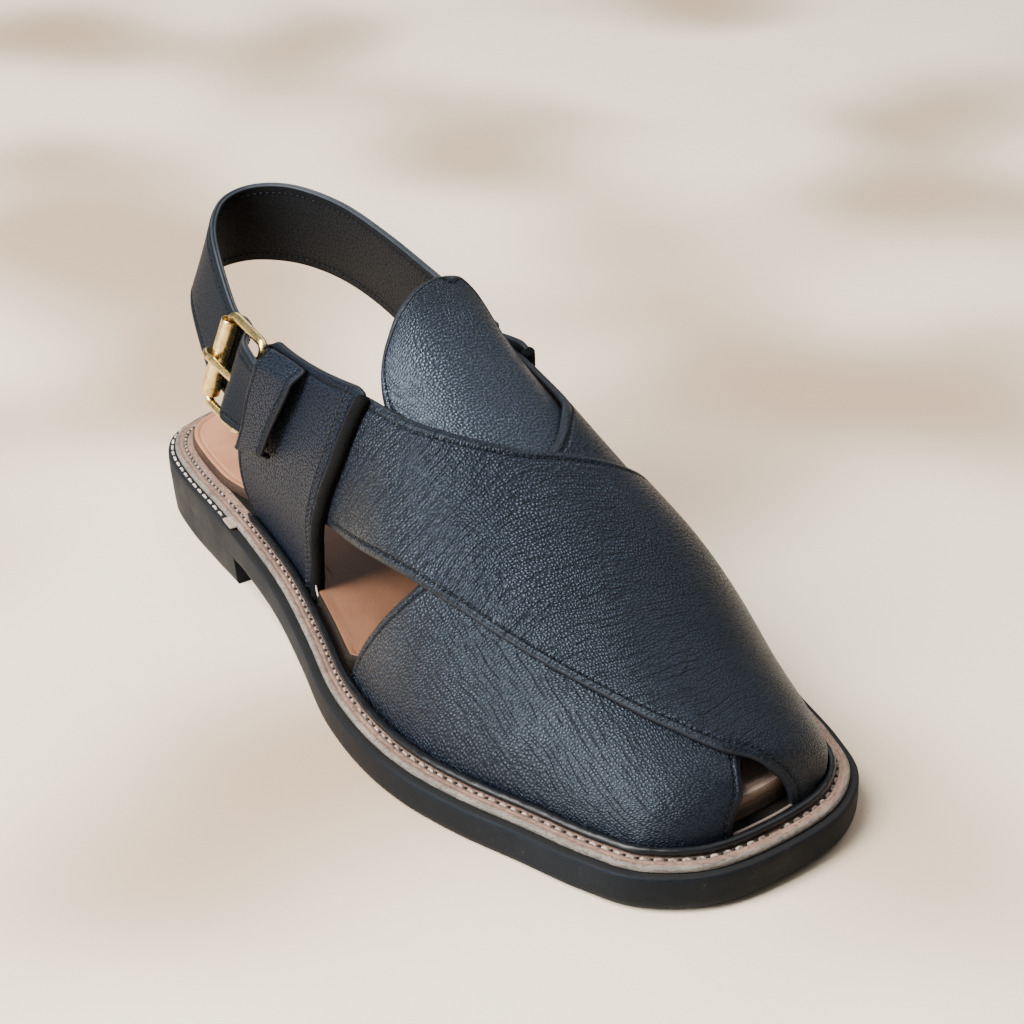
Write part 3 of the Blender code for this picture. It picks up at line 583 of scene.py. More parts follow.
def build_outsole(looks, threads):
    at_heel = lambda y: 1.0 - smooth(HEEL_BREAST_Y - 3.0, HEEL_BREAST_Y + 9.0, y)
    # The rows: inset away from the heel, inset over it, share of the side's height.
    sides = ((1.2, 0.5, 0.0), (0.55, 0.4, 0.08), (0.12, 0.3, 0.2), (0.0, 0.15, 0.36),
             (-0.05, 0.05, 0.55), (0.0, 0.0, 0.75), (0.05, 0.05, 0.9), (0.22, 0.22, 0.965),
             (0.5, 0.5, 0.99), (0.9, 0.9, 1.0), (MIDSOLE_INSET,) * 2 + (1.0,),
             (MIDSOLE_INSET + 1.5,) * 2 + (1.0,))
    rings = [(lambda y, a=fore, b=heel: blend(a, b, at_heel(y)),
              lambda y, s=share: blend(underside(y), rim_top(y), s)) for fore, heel, share in sides]
    mesh = loft(rings, [0] * 8 + [1] * 3)
    mesh.piece("outsole_body", (looks["rubber"], looks["rim"]), ("outsole",), "sole")

    rings = [(constant(inset), lambda y, s=share: np.maximum(underside(y) - 0.05, 1.5) * s)
             for inset, share in ((2.2, 0.0), (1.7, 0.03), (1.35, 0.1), (1.1, 0.3), (0.8, 0.6),
                                  (0.55, 0.9), (0.5, 1.0))]
    block = loft(rings, [0] * 6).piece("heel_lift", (looks["rubber"],), ("heel_block",), "sole")
    bm = bmesh.new()
    bm.from_mesh(block.data)
    cut = bmesh.ops.bisect_plane(bm, geom=bm.verts[:] + bm.edges[:] + bm.faces[:],
                                 plane_co=(0, HEEL_BREAST_Y * MM, 0), plane_no=(0, 1, 0),
                                 clear_outer=True)
    bmesh.ops.edgeloop_fill(bm, edges=[e for e in cut["geom_cut"] if isinstance(e, bmesh.types.BMEdge)])
    bm.to_mesh(block.data)
    bm.free()
    block.data.set_sharp_from_angle(angle=SHARP)

    # Large stitches on the heel's rim.
    for side, last in HEEL_ROW_ENDS:
        path = sole_line(side, 0.0, last, HEEL_ROW_INSET, lambda y: rim_top(y) + 0.05, 400)
        stitches(threads, path, UP, **HEEL_STITCH)


def sole_line(side, start, end, inset, height, steps):
    """Points along one side of the sole, between two stations."""
    x, y = outline_point(side, np.linspace(start, end, steps), inset).T
    return np.stack((x, y, height(y)), 1)


def toe_line(start, *where):
    """Line from a station on the lateral side round the toe to the same station on the medial."""
    lateral, medial = (sole_line(side, start, STATIONS, *where) for side in (LATERAL, MEDIAL))
    return np.vstack((lateral, medial[-2::-1]))


def build_midsole(looks, threads):
    top = midsole_top
    rings = [(constant(MIDSOLE_INSET + inset), lambda y, d=drop: top(y) - d) for inset, drop in (
        (0.0, MIDSOLE_THICK), (-0.05, 1.1), (0.05, 0.6), (0.3, 0.2), (0.7, 0.0), (1.4, 0.0),
        (1.6, 0.16), (1.75, 0.16), (1.95, 0.0), (2.7, 0.0), (3.05, 0.22), (3.55, 0.34),
        (4.05, 0.22), (4.4, 0.0), (6.5, 0.0), (9.0, 0.0))]
    mesh = loft(rings, [1] * 4 + [0] * 10 + [2])
    mesh.piece("welt", (looks["welt"], looks["raw"], looks["shade"]), ("midsole",), "welt")
    for side in (LATERAL, MEDIAL):
        for first, last, pitch, length, hole in WELT_ROWS:
            path = sole_line(side, first, last, WELT_ROW_INSET, lambda y: top(y) - WELT_ROW_SINK, 600)
            stitches(threads, path, UP, pitch, length, **WELT_STITCH)
            stitches(threads, path, UP, pitch, hole, **WELT_HOLE)

    bead = Mesh()
    path = toe_line(CORD_END_STATION, CORD_INSET, lambda y: top(y) + GAP + CORD_RADIUS - 0.15, 260)
    run = lengths(path, 0)
    ends = smooth(0.0, 3.0, run) * smooth(0.0, 3.0, run[-1] - run)
    uneven = 1.0 + 0.03 * np.sin(run * 0.61) + 0.02 * np.sin(run * 1.37)
    sweep(bead, path, CORD_RADIUS * uneven * (0.35 + 0.65 * ends), 14)
    bead.piece("rand_bead", (looks["bead"],), ("welt_cord",), "edge")

    strip = Mesh()
    path = toe_line(TOE_STRIP_FROM, UPPER_INSET + 1.1, lambda y: top(y) + 0.9, 60)
    sweep(strip, path, TOE_STRIP_RADIUS, 8)
    strip.piece("toe_strip", (looks["pale"],))


# Stretches of y over which the footbed widens at a window's rear end and narrows at its front.
WINDOW_STARTS, WINDOW_ENDS = (-31.0, -25.0), (7.5, 12.0)
FOOTBED_RIM = 16.0          # how far in from its edge the footbed's dips reach full depth
FOOTBED_DIPS = (
    # depth, middle x, y, reach in x, y
    (0.55, -1.0, -108.0, 22.0, 26.0),
    (0.6, 2.0, 62.0, 34.0, 36.0),
)


def build_insole(looks):
    in_window = lambda y: smooth(*WINDOW_STARTS, y) * (1.0 - smooth(*WINDOW_ENDS, y))
    outer = lambda y: insole_inset(y) - (INSOLE_WINDOW_REACH - 0.3) * in_window(y)
    # The rows: inset from the insole's side, drop below its top.  The groove ends at the windows.
    rings = [(lambda y, i=inset: outer(y) + i,
              lambda y, d=drop, g=inset > GROOVE_FROM: insole_top(y) - d * (1.0 - g * in_window(y)))
             for inset, drop in ((0.0, 3.0), (-0.05, 1.9), (0.05, 0.9), (0.3, 0.4), (0.7, 0.1),
                                 (1.3, 0.0), (2.1, 0.0), (2.4, 0.28), (2.75, 0.3), (3.1, 0.02),
                                 (3.6, 0.0))]
    rings[0] = (outer, lambda y: midsole_top(y) + GAP)

    def hollows(x, y, from_edge):
        dips = sum(depth * np.exp(-((x - at_x) / wide) ** 2 - ((y - at_y) / long) ** 2)
                   for depth, at_x, at_y, wide, long in FOOTBED_DIPS)
        return -smooth(0.0, FOOTBED_RIM, from_edge) * dips

    mesh = loft(rings, [1] * 4 + [0] * 6, hollows, 40)
    mesh.piece("footbed", (looks["footbed"], looks["footbed_side"]), ("insole",), "insole")


# The tab on the heel's rim: where it starts and ends.
TAB_STATIONS, TAB_INSETS, TAB_RISES, TAB_THICK = (4.42, 4.62), (0.5, 2.8), (0.95, 0.7), 0.85
# Loose thread at the lateral quarter's foot: station, inset, height above the welt.
THREAD_END = ((6.40, 11.2, 11.0), (6.44, 10.2, 9.6), (6.48, 9.8, 7.4), (6.51, 9.9, 5.0),
              (6.55, 10.3, 3.2), (6.60, 10.8, 2.6))
# The knot at its end: x, y and z from the end, radius.
KNOT = ((0.0, 0.0, -0.7, 0.4), (0.1, 0.1, -0.3, 1.0), (0.0, 0.3, 0.3, 1.15), (0.2, 0.5, 0.9, 0.8),
        (0.1, 0.8, 1.3, 0.3))


def build_loose_ends(looks):
    """The tab that ends the heel's rim stitches, and the thread end at the quarter's foot."""
    def tab_point(u, v):
        place = outline_point(LATERAL, blend(*TAB_STATIONS, u), blend(*TAB_INSETS, v))
        x, y = np.moveaxis(place, -1, 0)
        return np.stack((x, y, rim_top(y) + blend(*TAB_RISES, u)), -1)

    tab = Panel(tab_point, cell=0.6, flip=True)
    tab.sheet(TAB_THICK, SINGLE_RIM).piece("rim_tab", (looks["tab"],) * 3)

    station, inset, rise = np.transpose(THREAD_END)
    x, y = outline_point(LATERAL, station, inset).T
    mesh = Mesh()
    path = along(np.stack((x, y, midsole_top(y) + rise), 1), np.linspace(0, 1, 26))
    sweep(mesh, path, 0.28, 8)
    knot = np.array(KNOT)
    sweep(mesh, path[-1] + knot[:, :3], knot[:, 3], 10)
    mesh.piece("thread_end", (looks["white"],))


# --- upper -------------------------------------------------------------------------------------

def on_last(first, second, along_share, across_share, lift):
    """Points between two lines of (station, around) on the last; lift(station, around) raises them."""
    place = blend(along(first, along_share), along(second, along_share), across_share[..., None])
    station, around = np.moveaxis(place, -1, 0)
    return last_point(station, around, lift(station, around))


def seam_rows(threads, panel, sides):
    for side in sides.split():
        stitches(threads, *panel.row(side))


def skins(looks, face):
    """Looks of a leather panel's face, rim and back."""
    return looks[face], looks["cut_edge"], looks["lining"]


def build_vamp(looks, threads):
    def over_point(u, v):
        def lift(station, around):
            beyond = np.maximum(smooth(*OVERLAP_FALLS_STATION, station),
                                smooth(*OVERLAP_FALLS_AROUND, around))
            return OVERLAP_LIFT * smooth(*OVERLAP_RISES, u) * (1.0 - beyond)
        return on_last(OVER_STRAP_LOWER, OVER_STRAP_UPPER, u, v, lift)

    def under_point(u, v):
        return on_last(UNDER_STRAP_LOWER, UNDER_STRAP_UPPER, u, v, lambda station, around: 0.0)

    def tongue_point(u, v):
        lift = TONGUE_FLARE * smooth(TONGUE_FLARE_FROM, 1.0, u) - TONGUE_SINK
        return on_last(TONGUE_LATERAL, TONGUE_MEDIAL, u, v, lambda station, around: lift)

    over = Panel(over_point, "low high", turn=(-30.0, -58.0), soft_creases=OVER_CREASES)
    under = Panel(under_point, "low high", flip=True, turn=(22.0, 22.0), soft_creases=UNDER_CREASES)
    tongue = Panel(tongue_point, "low high end", flip=True, turn=(78.0, 78.0))
    for panel, name, face, nodes in ((over, "vamp_strap_over", "leather", ("upper",)),
                                     (under, "vamp_strap_under", "leather", ()),
                                     (tongue, "tongue_leather", "tongue", ("tongue",))):
        panel.sheet(LEATHER, SINGLE_RIM).piece(name, skins(looks, face), nodes, "upper_leather")
    for panel in (over, under):
        seam_rows(threads, panel, "low high")

    # One row up the tongue's lateral edge, across its top and down the other edge.
    below_top = tongue.u_run[-1].mean() - tongue.u_run.mean(1) > SEAM
    width = tongue.v_run[-1]
    between = (width > SEAM) & (width < width[-1] - SEAM)
    rows = [np.array(tongue.row(side))[:, keep]
            for side, keep in (("low", below_top), ("end", between), ("high", below_top))]
    stitches(threads, *np.concatenate((rows[0], rows[1], rows[2][:, ::-1]), 1))


# Soft creases, along lines of (station, share of the way round the last).
OVER_CREASES = (
    # depth, half width, line
    (0.16, 0.9, ((8.9, 0.24), (9.0, 0.33), (9.3, 0.42), (9.5, 0.50))),
    (0.20, 1.0, ((9.5, 0.27), (9.7, 0.36), (9.9, 0.46), (10.2, 0.55))),
    (0.15, 0.9, ((10.1, 0.31), (10.25, 0.40), (10.5, 0.50), (10.6, 0.62))),
    (0.22, 1.1, ((10.5, 0.34), (10.8, 0.45), (11.1, 0.56), (11.3, 0.66))),
    (0.16, 0.9, ((11.1, 0.38), (11.4, 0.50), (11.8, 0.60), (12.0, 0.70))),
    (0.18, 1.0, ((11.8, 0.45), (12.2, 0.55), (12.6, 0.66), (12.7, 0.76))),
    (0.14, 0.9, ((12.8, 0.50), (13.1, 0.60), (13.3, 0.70), (13.4, 0.80))),
    (0.14, 0.9, ((8.2, 0.22), (8.3, 0.29), (8.5, 0.36))),
)
UNDER_CREASES = (
    (0.18, 1.0, ((9.2, 0.19), (10.0, 0.17), (10.8, 0.12), (11.4, 0.06))),
    (0.15, 0.9, ((10.2, 0.24), (11.0, 0.20), (11.9, 0.14), (12.6, 0.07))),
    (0.20, 1.1, ((11.3, 0.27), (12.1, 0.24), (13.0, 0.18), (13.7, 0.10))),
    (0.14, 0.9, ((12.4, 0.33), (13.1, 0.29), (13.9, 0.23), (14.4, 0.15))),
    (0.14, 0.9, ((9.0, 0.12), (9.6, 0.09), (10.2, 0.05))),
)


def creases(points, table):
    """Soft troughs with low ridges beside them, along listed lines."""
    shape = np.zeros(points.shape[:2])
    for depth, width, line in table:
        path = last_point(*along(line, np.linspace(0, 1, 24)).T)
        gaps = np.linalg.norm(points[..., None, :] - path, axis=-1)
        nearest = gaps.argmin(-1)
        distance = gaps.min(-1) / width
        ends = np.sin(np.pi * (nearest + 0.5) / len(path)) ** 0.6
        shape += depth * ends * (0.45 * np.exp(-((distance - 1.9) / 0.8) ** 2)
                                 - np.exp(-distance ** 2))
    return shape


# How far the quarter's top corners drop, as a share round the last, over a share of its width.
CORNER_ROUND, CORNER_REACH = 0.007, 0.09
BINDING_RADIUS, BINDING_DEPTH = 2.1, 0.62        # its middle's depth is a share of the leather
# Dark rows inside the quarter's front edge: distance, slant, shift along the row in pitches.
ZIGZAG = ((4.6, 0.9, 0.5), (5.9, -0.9, 1.0))


def build_quarters(looks, threads):
    for side in (LATERAL, MEDIAL):
        def point(u, v, side=side):
            place = blend(along(QUARTER_REAR, v), along(QUARTER_FRONT, v), u[..., None])
            around = place[..., 1] - QUARTER_DIP * 4.0 * u * (1.0 - u) * v * v
            corner = np.maximum(1.0 - np.minimum(u, 1.0 - u) / CORNER_REACH, 0.0) ** 2
            around -= CORNER_ROUND * corner * v ** 6
            lift = QUARTER_LIFT * smooth(*QUARTER_LIFTS, v)
            return last_point(place[..., 0], around if side == LATERAL else 1.0 - around, lift)

        quarter = Panel(point, "start end high", flip=side == MEDIAL)
        quarter.sheet(LEATHER, SINGLE_RIM).piece("quarter_panel_" + side, skins(looks, "quarter"),
                                                 ("quarter_" + side,), "upper_leather")
        seam_rows(threads, quarter, "start")
        for distance, slant, shift in ZIGZAG:
            stitches(threads, *quarter.row("end", distance), slot=1, slant=slant, shift=shift)
        band = Mesh()
        edge = quarter.points[-1] - quarter.normals[-1] * (LEATHER * BINDING_DEPTH)
        ahead = unit(quarter.points[-1] - quarter.points[-4])
        rows_to_end = np.arange(len(edge))[::-1]
        rounded = np.sin(np.pi / 2 * np.minimum(1.0, (rows_to_end + 0.35) / 3.0)) ** 0.5
        sweep(band, edge + ahead * 0.5, BINDING_RADIUS * rounded, 14)
        band.piece("quarter_binding_" + side, (looks["felt"],), (), "upper_leather")


# --- heel strap, keeper and buckle -------------------------------------------------------------

class BuckleFrame:
    """Local axes of the buckle: ahead to the toe, across the strap, and outwards."""

    def __init__(self):
        self.origin = np.array(ROLLER_MIDDLE)
        reach = np.array(FOLD_BAR_MIDDLE) - self.origin
        self.across = unit(np.array(ROLLER_UPPER_END) - self.origin)
        self.ahead = unit(reach - self.across * (reach @ self.across))
        self.outward = np.cross(self.ahead, self.across)
        self.length = float(reach @ self.ahead)

    def at(self, ahead, across=0.0, outward=0.0):
        return self.origin + self.ahead * ahead + self.across * across + self.outward * outward


BUCKLE = BuckleFrame()


def strap_rows():
    """Lower edge, middle and upper edge of the heel strap's outer face, medial end to tip."""
    width = STRAP_WIDTH_AT_BUCKLE / 2

    def on_quarter(table):
        return [[last_point(*blend(np.array(row[:2]), np.array(row[2:4]), share), row[4])
                 for share in (0.0, 0.5, 1.0)] for row in table]

    free = np.array(HEEL_STRAP).reshape(-1, 2, 3)
    rows = on_quarter(STRAP_ROOT)
    rows += [[low, (low + high) / 2, high] for low, high in free]
    rows += [[BUCKLE.at(ahead, shift + across, out) for across in (-width, 0.0, width)]
             for ahead, shift, out in STRAP_THROUGH_BUCKLE]
    rows += on_quarter(STRAP_TIP)
    return np.array(rows)


def build_heel_strap(looks, threads):
    rows = strap_rows().reshape(-1, 9)

    def point(u, v):
        low, middle, high = np.moveaxis(along(rows, u).reshape(*u.shape, 3, 3), -2, 0)
        v = v[..., None]
        return low * (1 - v) * (1 - 2 * v) + middle * 4 * v * (1 - v) + high * v * (2 * v - 1)

    strap = Panel(point, "low high", cell=1.2, roll=0.35)
    faces = looks["strap"], looks["edge_paint"], looks["lining"]
    piece = strap.sheet(STRAP_THICK, DOUBLE_RIM).piece("heel_strap_leather", faces, ("heel_strap",),
                                                       "upper_leather")
    seam_rows(threads, strap, "low high")
    for side in ("low", "high"):
        path, normals = strap.row(side)
        stitches(threads, path - normals * (STRAP_THICK - SEAM_DEPTH), -normals)
    punch(piece, BUCKLE.at(SPARE_HOLE, 0.0, 0.0), BUCKLE.at(SPARE_HOLE, 0.0, 14.0), HOLE_RADIUS)
    punch(piece, BUCKLE.at(2.0, 0.0, PRONG_TIP), BUCKLE.at(BUCKLE.length + PRONG_EYE, 0.0, PRONG_EYE),
          PRONG_RADIUS + PRONG_CLEAR)


def punch(piece, start, end, radius):
    """Drills a round hole through a piece."""
    drill = Mesh()
    sweep(drill, np.array((start, end)), radius, 24, up=(0.3, 0.2, 0.9))
    tool = drill.piece("drill", (piece.data.materials[1],))
    step = piece.modifiers.new("Hole", "BOOLEAN")
    step.object, step.operation, step.solver = tool, "DIFFERENCE", "EXACT"
    bpy.context.view_layer.update()
    drilled = bpy.data.meshes.new_from_object(piece.evaluated_get(bpy.context.evaluated_depsgraph_get()))
    piece.modifiers.clear()
    piece.data = drilled
    bpy.data.objects.remove(tool)


def build_keeper(looks, threads):
    def point(u, v):
        place = blend(along(KEEPER_REAR, v), along(KEEPER_FRONT, v), u[..., None])
        bridge = smooth(0.0, 0.7 * KEEPER_FOOT, v) * (1.0 - smooth(1.0 - 1.5 * KEEPER_FOOT, 1.0, v))
        low = QUARTER_LIFT + GAP + KEEPER_THICK
        high = KEEPER_LIFT + KEEPER_RISE * (1.0 - u)
        return last_point(place[..., 0], place[..., 1], blend(low, high, bridge))

    keeper = Panel(point, "start end", cell=0.8, roll=0.3, seam=1.7)
    keeper.sheet(KEEPER_THICK, SINGLE_RIM).piece("keeper_band", skins(looks, "quarter"),
                                                 ("keeper_loop",), "upper_leather")
    seam_rows(threads, keeper, "start end")


def arc(centre, radius, first, last, steps):
    angles = np.radians(np.linspace(first, last, steps + 1))
    return [np.array(centre) + (radius * math.cos(a), radius * math.sin(a)) for a in angles]


def bridge(start, end, steps):
    """Points between two points, without them."""
    return [blend(start, end, k / steps) for k in range(1, steps)]


# Half of the roller's outside and its bore: distance in from the end, depth below the radius.
ROLLER_LIP = ((0.05, 0.5), (0.0, 0.2), (0.15, 0.03), (0.5, 0.0))
ROLLER_INSIDE = ((0.3, 0.62), (ROLLER_LENGTH / 2, 0.65), (ROLLER_LENGTH - 0.3, 0.62))
ROLLER_SIDES = 48
# Width of the prong along its length, as a share of its full width.
PRONG_TAPER = ((0, 0.5, 0.85, 0.97, 1.0), (1.0, 1.0, 0.98, 0.85, 0.45))
FOLD_ENDS = np.array((0.0, 0.25, 0.8))      # how the folded leather's ends are rounded:
FOLD_END_DEPTHS = np.array((0.9, 0.3, 0.0))     # distance from the end, depth


def build_buckle(looks):
    length, inner = BUCKLE.length, FRAME_WIDTH / 2 - FRAME_CORNER
    points = []
    for turn, *centre in ((180.0, FRAME_CORNER, -inner), (270.0, length - FRAME_CORNER, -inner),
                          (360.0, length - FRAME_CORNER, inner), (450.0, FRAME_CORNER, inner)):
        corner = [BUCKLE.at(*spot) for spot in arc(centre, FRAME_CORNER, turn, turn + 90.0, 10)]
        points += (bridge(points[-1], corner[0], 8) if points else []) + corner
    mesh = Mesh()
    sweep(mesh, points + bridge(points[-1], points[0], 8), FRAME_WIRE_RADIUS, 20, True, BUCKLE.outward)
    mesh.piece("buckle_wire", (looks["brass"],), ("buckle_frame",), "brass")

    # Roller: a thin tube with rolled lips.
    mesh = Mesh()
    end = ROLLER_LENGTH / 2
    near = [(place - end, depth) for place, depth in ROLLER_LIP]
    flat = [(across, 0.0) for across in (-9.0, -3.0, 3.0, 9.0)]
    bore = [(end - place, depth) for place, depth in ROLLER_INSIDE]
    angles = np.linspace(0, 2 * np.pi, ROLLER_SIDES, endpoint=False)
    rings = [[BUCKLE.at((ROLLER_RADIUS - depth) * math.cos(a), across, (ROLLER_RADIUS - depth) * math.sin(a))
              for a in angles] for across, depth in near + flat + [(-a, d) for a, d in near[::-1]] + bore]
    mesh.tube(np.array(rings), cyclic=True)
    mesh.piece("buckle_roller_tube", (looks["brass"],), ("buckle_roller",), "brass")

    path = arc((length, 0.0), PRONG_EYE, -150.0, 90.0, 26)
    over = arc((0.0, 0.0), PRONG_TIP, 78.0, 190.0, 18)
    path = [BUCKLE.at(ahead, 0.0, out) for ahead, out in path + bridge(path[-1], over[0], 12) + over]
    radii = PRONG_RADIUS * np.interp(np.linspace(0, 1, len(path)), *PRONG_TAPER)
    mesh = Mesh()
    sweep(mesh, path, radii, 16, up=BUCKLE.across)
    mesh.piece("buckle_tongue", (looks["brass"],), ("buckle_prong",), "brass")

    # The quarter's rear edge, folded round the front bar on both sides of the prong.
    mesh = Mesh()
    for low, high in ((-FOLD_LENGTH / 2, -PRONG_SLOT / 2), (PRONG_SLOT / 2, FOLD_LENGTH / 2)):
        places = np.concatenate((low + FOLD_ENDS, [(low + high) / 2], high - FOLD_ENDS[::-1]))
        radii = FOLD_RADIUS - np.concatenate((FOLD_END_DEPTHS, [0.0], FOLD_END_DEPTHS[::-1]))
        sweep(mesh, [BUCKLE.at(length, place) for place in places], radii, 28, up=BUCKLE.outward)
    mesh.piece("quarter_fold", (looks["strap"],), (), "upper_leather")


# --- materials ---------------------------------------------------------------------------------

class Look:
    """Builds a procedural material: a value that is a socket is linked, and any other is set."""

    def __init__(self, name, **sockets):
        self.material = bpy.data.materials.new(name)
        self.material.use_nodes = True
        self.tree = self.material.node_tree
        self.shader = self.tree.nodes["Principled BSDF"]
        self.set(**sockets)

    def set(self, **sockets):
        for socket, value in sockets.items():
            self.feed(self.shader.inputs[socket.replace("_", " ")], value)

    def feed(self, socket, value):
        if isinstance(value, bpy.types.NodeSocket):
            self.tree.links.new(value, socket)
        else:
            socket.default_value = value

    def node(self, kind, inputs, out=0, **settings):
        made = self.tree.nodes.new("ShaderNode" + kind)
        for key, value in settings.items():
            setattr(made, key, value)
        for key, value in inputs.items():
            self.feed(made.inputs[key], value)
        return made.outputs[out]

    def attribute(self, name):
        return self.node("Attribute", {}, "Vector" if name == "grain" else "Fac", attribute_name=name)

    def position(self):
        return self.node("NewGeometry", {}, "Position")

    def part(self, vector, axis):
        return self.node("SeparateXYZ", {0: vector}, axis)

    def stretch(self, vector, factors):
        return self.node("VectorMath", {0: vector, 1: factors}, operation="MULTIPLY")

    def noise(self, vector, scale, detail=2.0, roughness=0.5):
        return self.node("TexNoise", {"Vector": vector, "Scale": scale, "Detail": detail,
                                      "Roughness": roughness})

    def cells(self, vector, scale, randomness, dimensions, feature="F1"):
        return self.node("TexVoronoi", {"Vector": vector, "Scale": scale, "Randomness": randomness},
                         feature=feature, voronoi_dimensions=dimensions)

    def math(self, operation, a, b=0.0, c=0.0):
        return self.node("Math", {0: a, 1: b, 2: c}, operation=operation)

    def times(self, a, b, plus=None):
        """a times b, and plus a third value if there is one."""
        return self.math("MULTIPLY", a, b) if plus is None else self.math("MULTIPLY_ADD", a, b, plus)

    def off(self, value, centre=0.0):
        """Distance of a value from a centre."""
        return self.math("ABSOLUTE", self.math("SUBTRACT", value, centre) if centre else value)

    def span(self, value, low, high, to_low=0.0, to_high=1.0):
        return self.node("MapRange", {"Value": value, "From Min": low, "From Max": high,
                                      "To Min": to_low, "To Max": to_high}, interpolation_type="SMOOTHSTEP")

    def mix(self, share, a, b):
        a, b = ((*c, 1.0) if isinstance(c, tuple) else c for c in (a, b))
        return self.node("Mix", {0: share, 6: a, 7: b}, 2, data_type="RGBA")

    def finish(self, colour, roughness, height, depth):
        """Connects the shader; depth is the bump's depth in mm."""
        bump = self.node("Bump", {"Height": height, "Distance": depth * MM, "Strength": 1.0})
        self.set(Base_Color=colour, Roughness=roughness, Normal=bump)
        return self.material


def shade(colour, factor):
    return tuple(channel * factor for channel in colour)


# Fine creases: their pitch in mm, line width as a share of the wave's swing, reach along them
# in mm, and how much of the skin stays free of them.
CREASES = ((2.3, 0.27, 9.0, 0.43), (1.35, 0.3, 5.0, 0.48))


def leather(name, dark, pale, pebble=0.95, depth=0.18, rough=(0.22, 0.5), crease=1.0, shine=0.24):
    """Full-grain leather: rounded pebbles with their tops painted paler (painted highlight) and their gaps
    darker (painted shade), thin dark creases along grain y with painted shade in them, a paler worn line at
    the very edge, painted shade in the stitch trough and towards the toe.
    """
    look = Look(name, Specular_IOR_Level=shine, Specular_Tint=(0.7, 0.84, 1.0, 1.0))
    grain = look.attribute("grain")
    edge = look.attribute("edge")
    drift = look.node("TexNoise", {"Vector": grain, "Scale": 0.03, "Detail": 1.0}, "Color")
    wander = look.node("VectorMath", {0: drift, 1: (0.5, 0.5, 0.5)}, operation="SUBTRACT")
    flow = look.node("VectorMath", {0: wander, 1: (8.0, 6.0, 0.0), 2: grain}, operation="MULTIPLY_ADD")
    spread = look.stretch(flow, (1.0 / pebble, 0.85 / pebble, 0.0))
    beads = look.cells(spread, 1.0, 0.8, "2D")
    gaps = look.cells(spread, 1.0, 0.8, "2D", "DISTANCE_TO_EDGE")
    dome = look.times(look.span(beads, 0.6, 0.05), 0.7, look.span(gaps, 0.0, 0.2, 0.0, 0.3))
    dome = look.times(dome, look.span(edge, 0.0, 3.2, 0.5, 1.0))
    # Pebbles flatter towards the toe, which darkens the tone there too: painted shade at the toe.
    forward = look.part(look.position(), "Y")
    dome = look.times(dome, look.span(forward, 0.045, 0.115, 1.0, 0.62))
    across = look.part(flow, "X")
    folds = None
    for pitch, width, reach, low in CREASES:
        waver = look.noise(look.stretch(flow, (0.45 / pitch, 0.6 / reach, 0.0)), 1.0, 1.6)
        phase = look.times(across, math.pi / pitch, look.times(waver, 5.5))
        cut = look.span(look.off(look.math("SINE", phase)), width, width * 0.15)
        where = look.noise(look.stretch(flow, (0.75 / pitch, 1.0 / reach, 0.0)), 1.0, 1.0)
        cut = look.times(cut, look.span(where, low, low + 0.1))
        folds = cut if folds is None else look.math("MAXIMUM", folds, cut)
    folds = look.times(folds, crease)
    fine = look.noise(grain, 3.2, 3.0, 0.6)
    height = look.times(fine, 0.12, look.times(folds, -1.3, dome))
    broad = look.noise(grain, 0.03, 3.0)
    # Pebble tops painted paler and their gaps darker, over a random broad tone: painted highlights and
    # painted shade.
    tone = look.times(broad, 0.4, look.times(dome, 1.05, -0.4))
    tone = look.math("ADD", tone, look.span(edge, 0.7, 0.0, 0.0, 0.2))
    # Creases darkened in colour: painted shade in the creases.
    tone = look.times(folds, -0.8, tone)
    colour = look.mix(tone, dark, pale)
    # The stitch row's trough darkened in colour: painted shade in the trough.
    seam = look.span(look.off(edge, SEAM), 0.2, 0.75, 0.3, 1.0)
    colour = look.mix(seam, shade(dark, 0.15), colour)
    shape = look.times(folds, -0.5, look.times(broad, 0.3, dome))
    roughness = look.span(shape, 0.25, 1.05, rough[1], rough[0])
    return look.finish(colour, roughness, height, depth)


def fibre(name, dark, pale, stretch=(0.12, 2.4, 2.4), depth=0.12, rough=(0.7, 0.9), dirt=0.0, shine=0.35):
    """Raw or painted edge: fibres along the edge, blotches and specks."""
    look = Look(name, Specular_IOR_Level=shine)
    grain = look.attribute("grain")
    strands = look.noise(look.stretch(grain, stretch), 1.0, 4.0, 0.65)
    specks = look.noise(grain, 1.9, 4.0, 0.7)
    blotch = look.noise(grain, 0.09, 3.0)
    tone = look.times(strands, 0.5, look.times(specks, 0.35, look.times(blotch, 0.35)))
    colour = look.mix(look.span(tone, 0.35, 0.85), dark, pale)
    if dirt:
        stains = look.noise(grain, 0.75, 3.0, 0.6)
        colour = look.mix(look.span(specks, 0.56, 0.68, 0.0, dirt), colour, shade(dark, 0.3))
        colour = look.mix(look.span(stains, 0.52, 0.66, 0.0, dirt * 0.7), colour, shade(dark, 0.5))
    return look.finish(colour, look.span(strands, 0.3, 0.7, *rough), look.times(specks, 0.5, strands), depth)


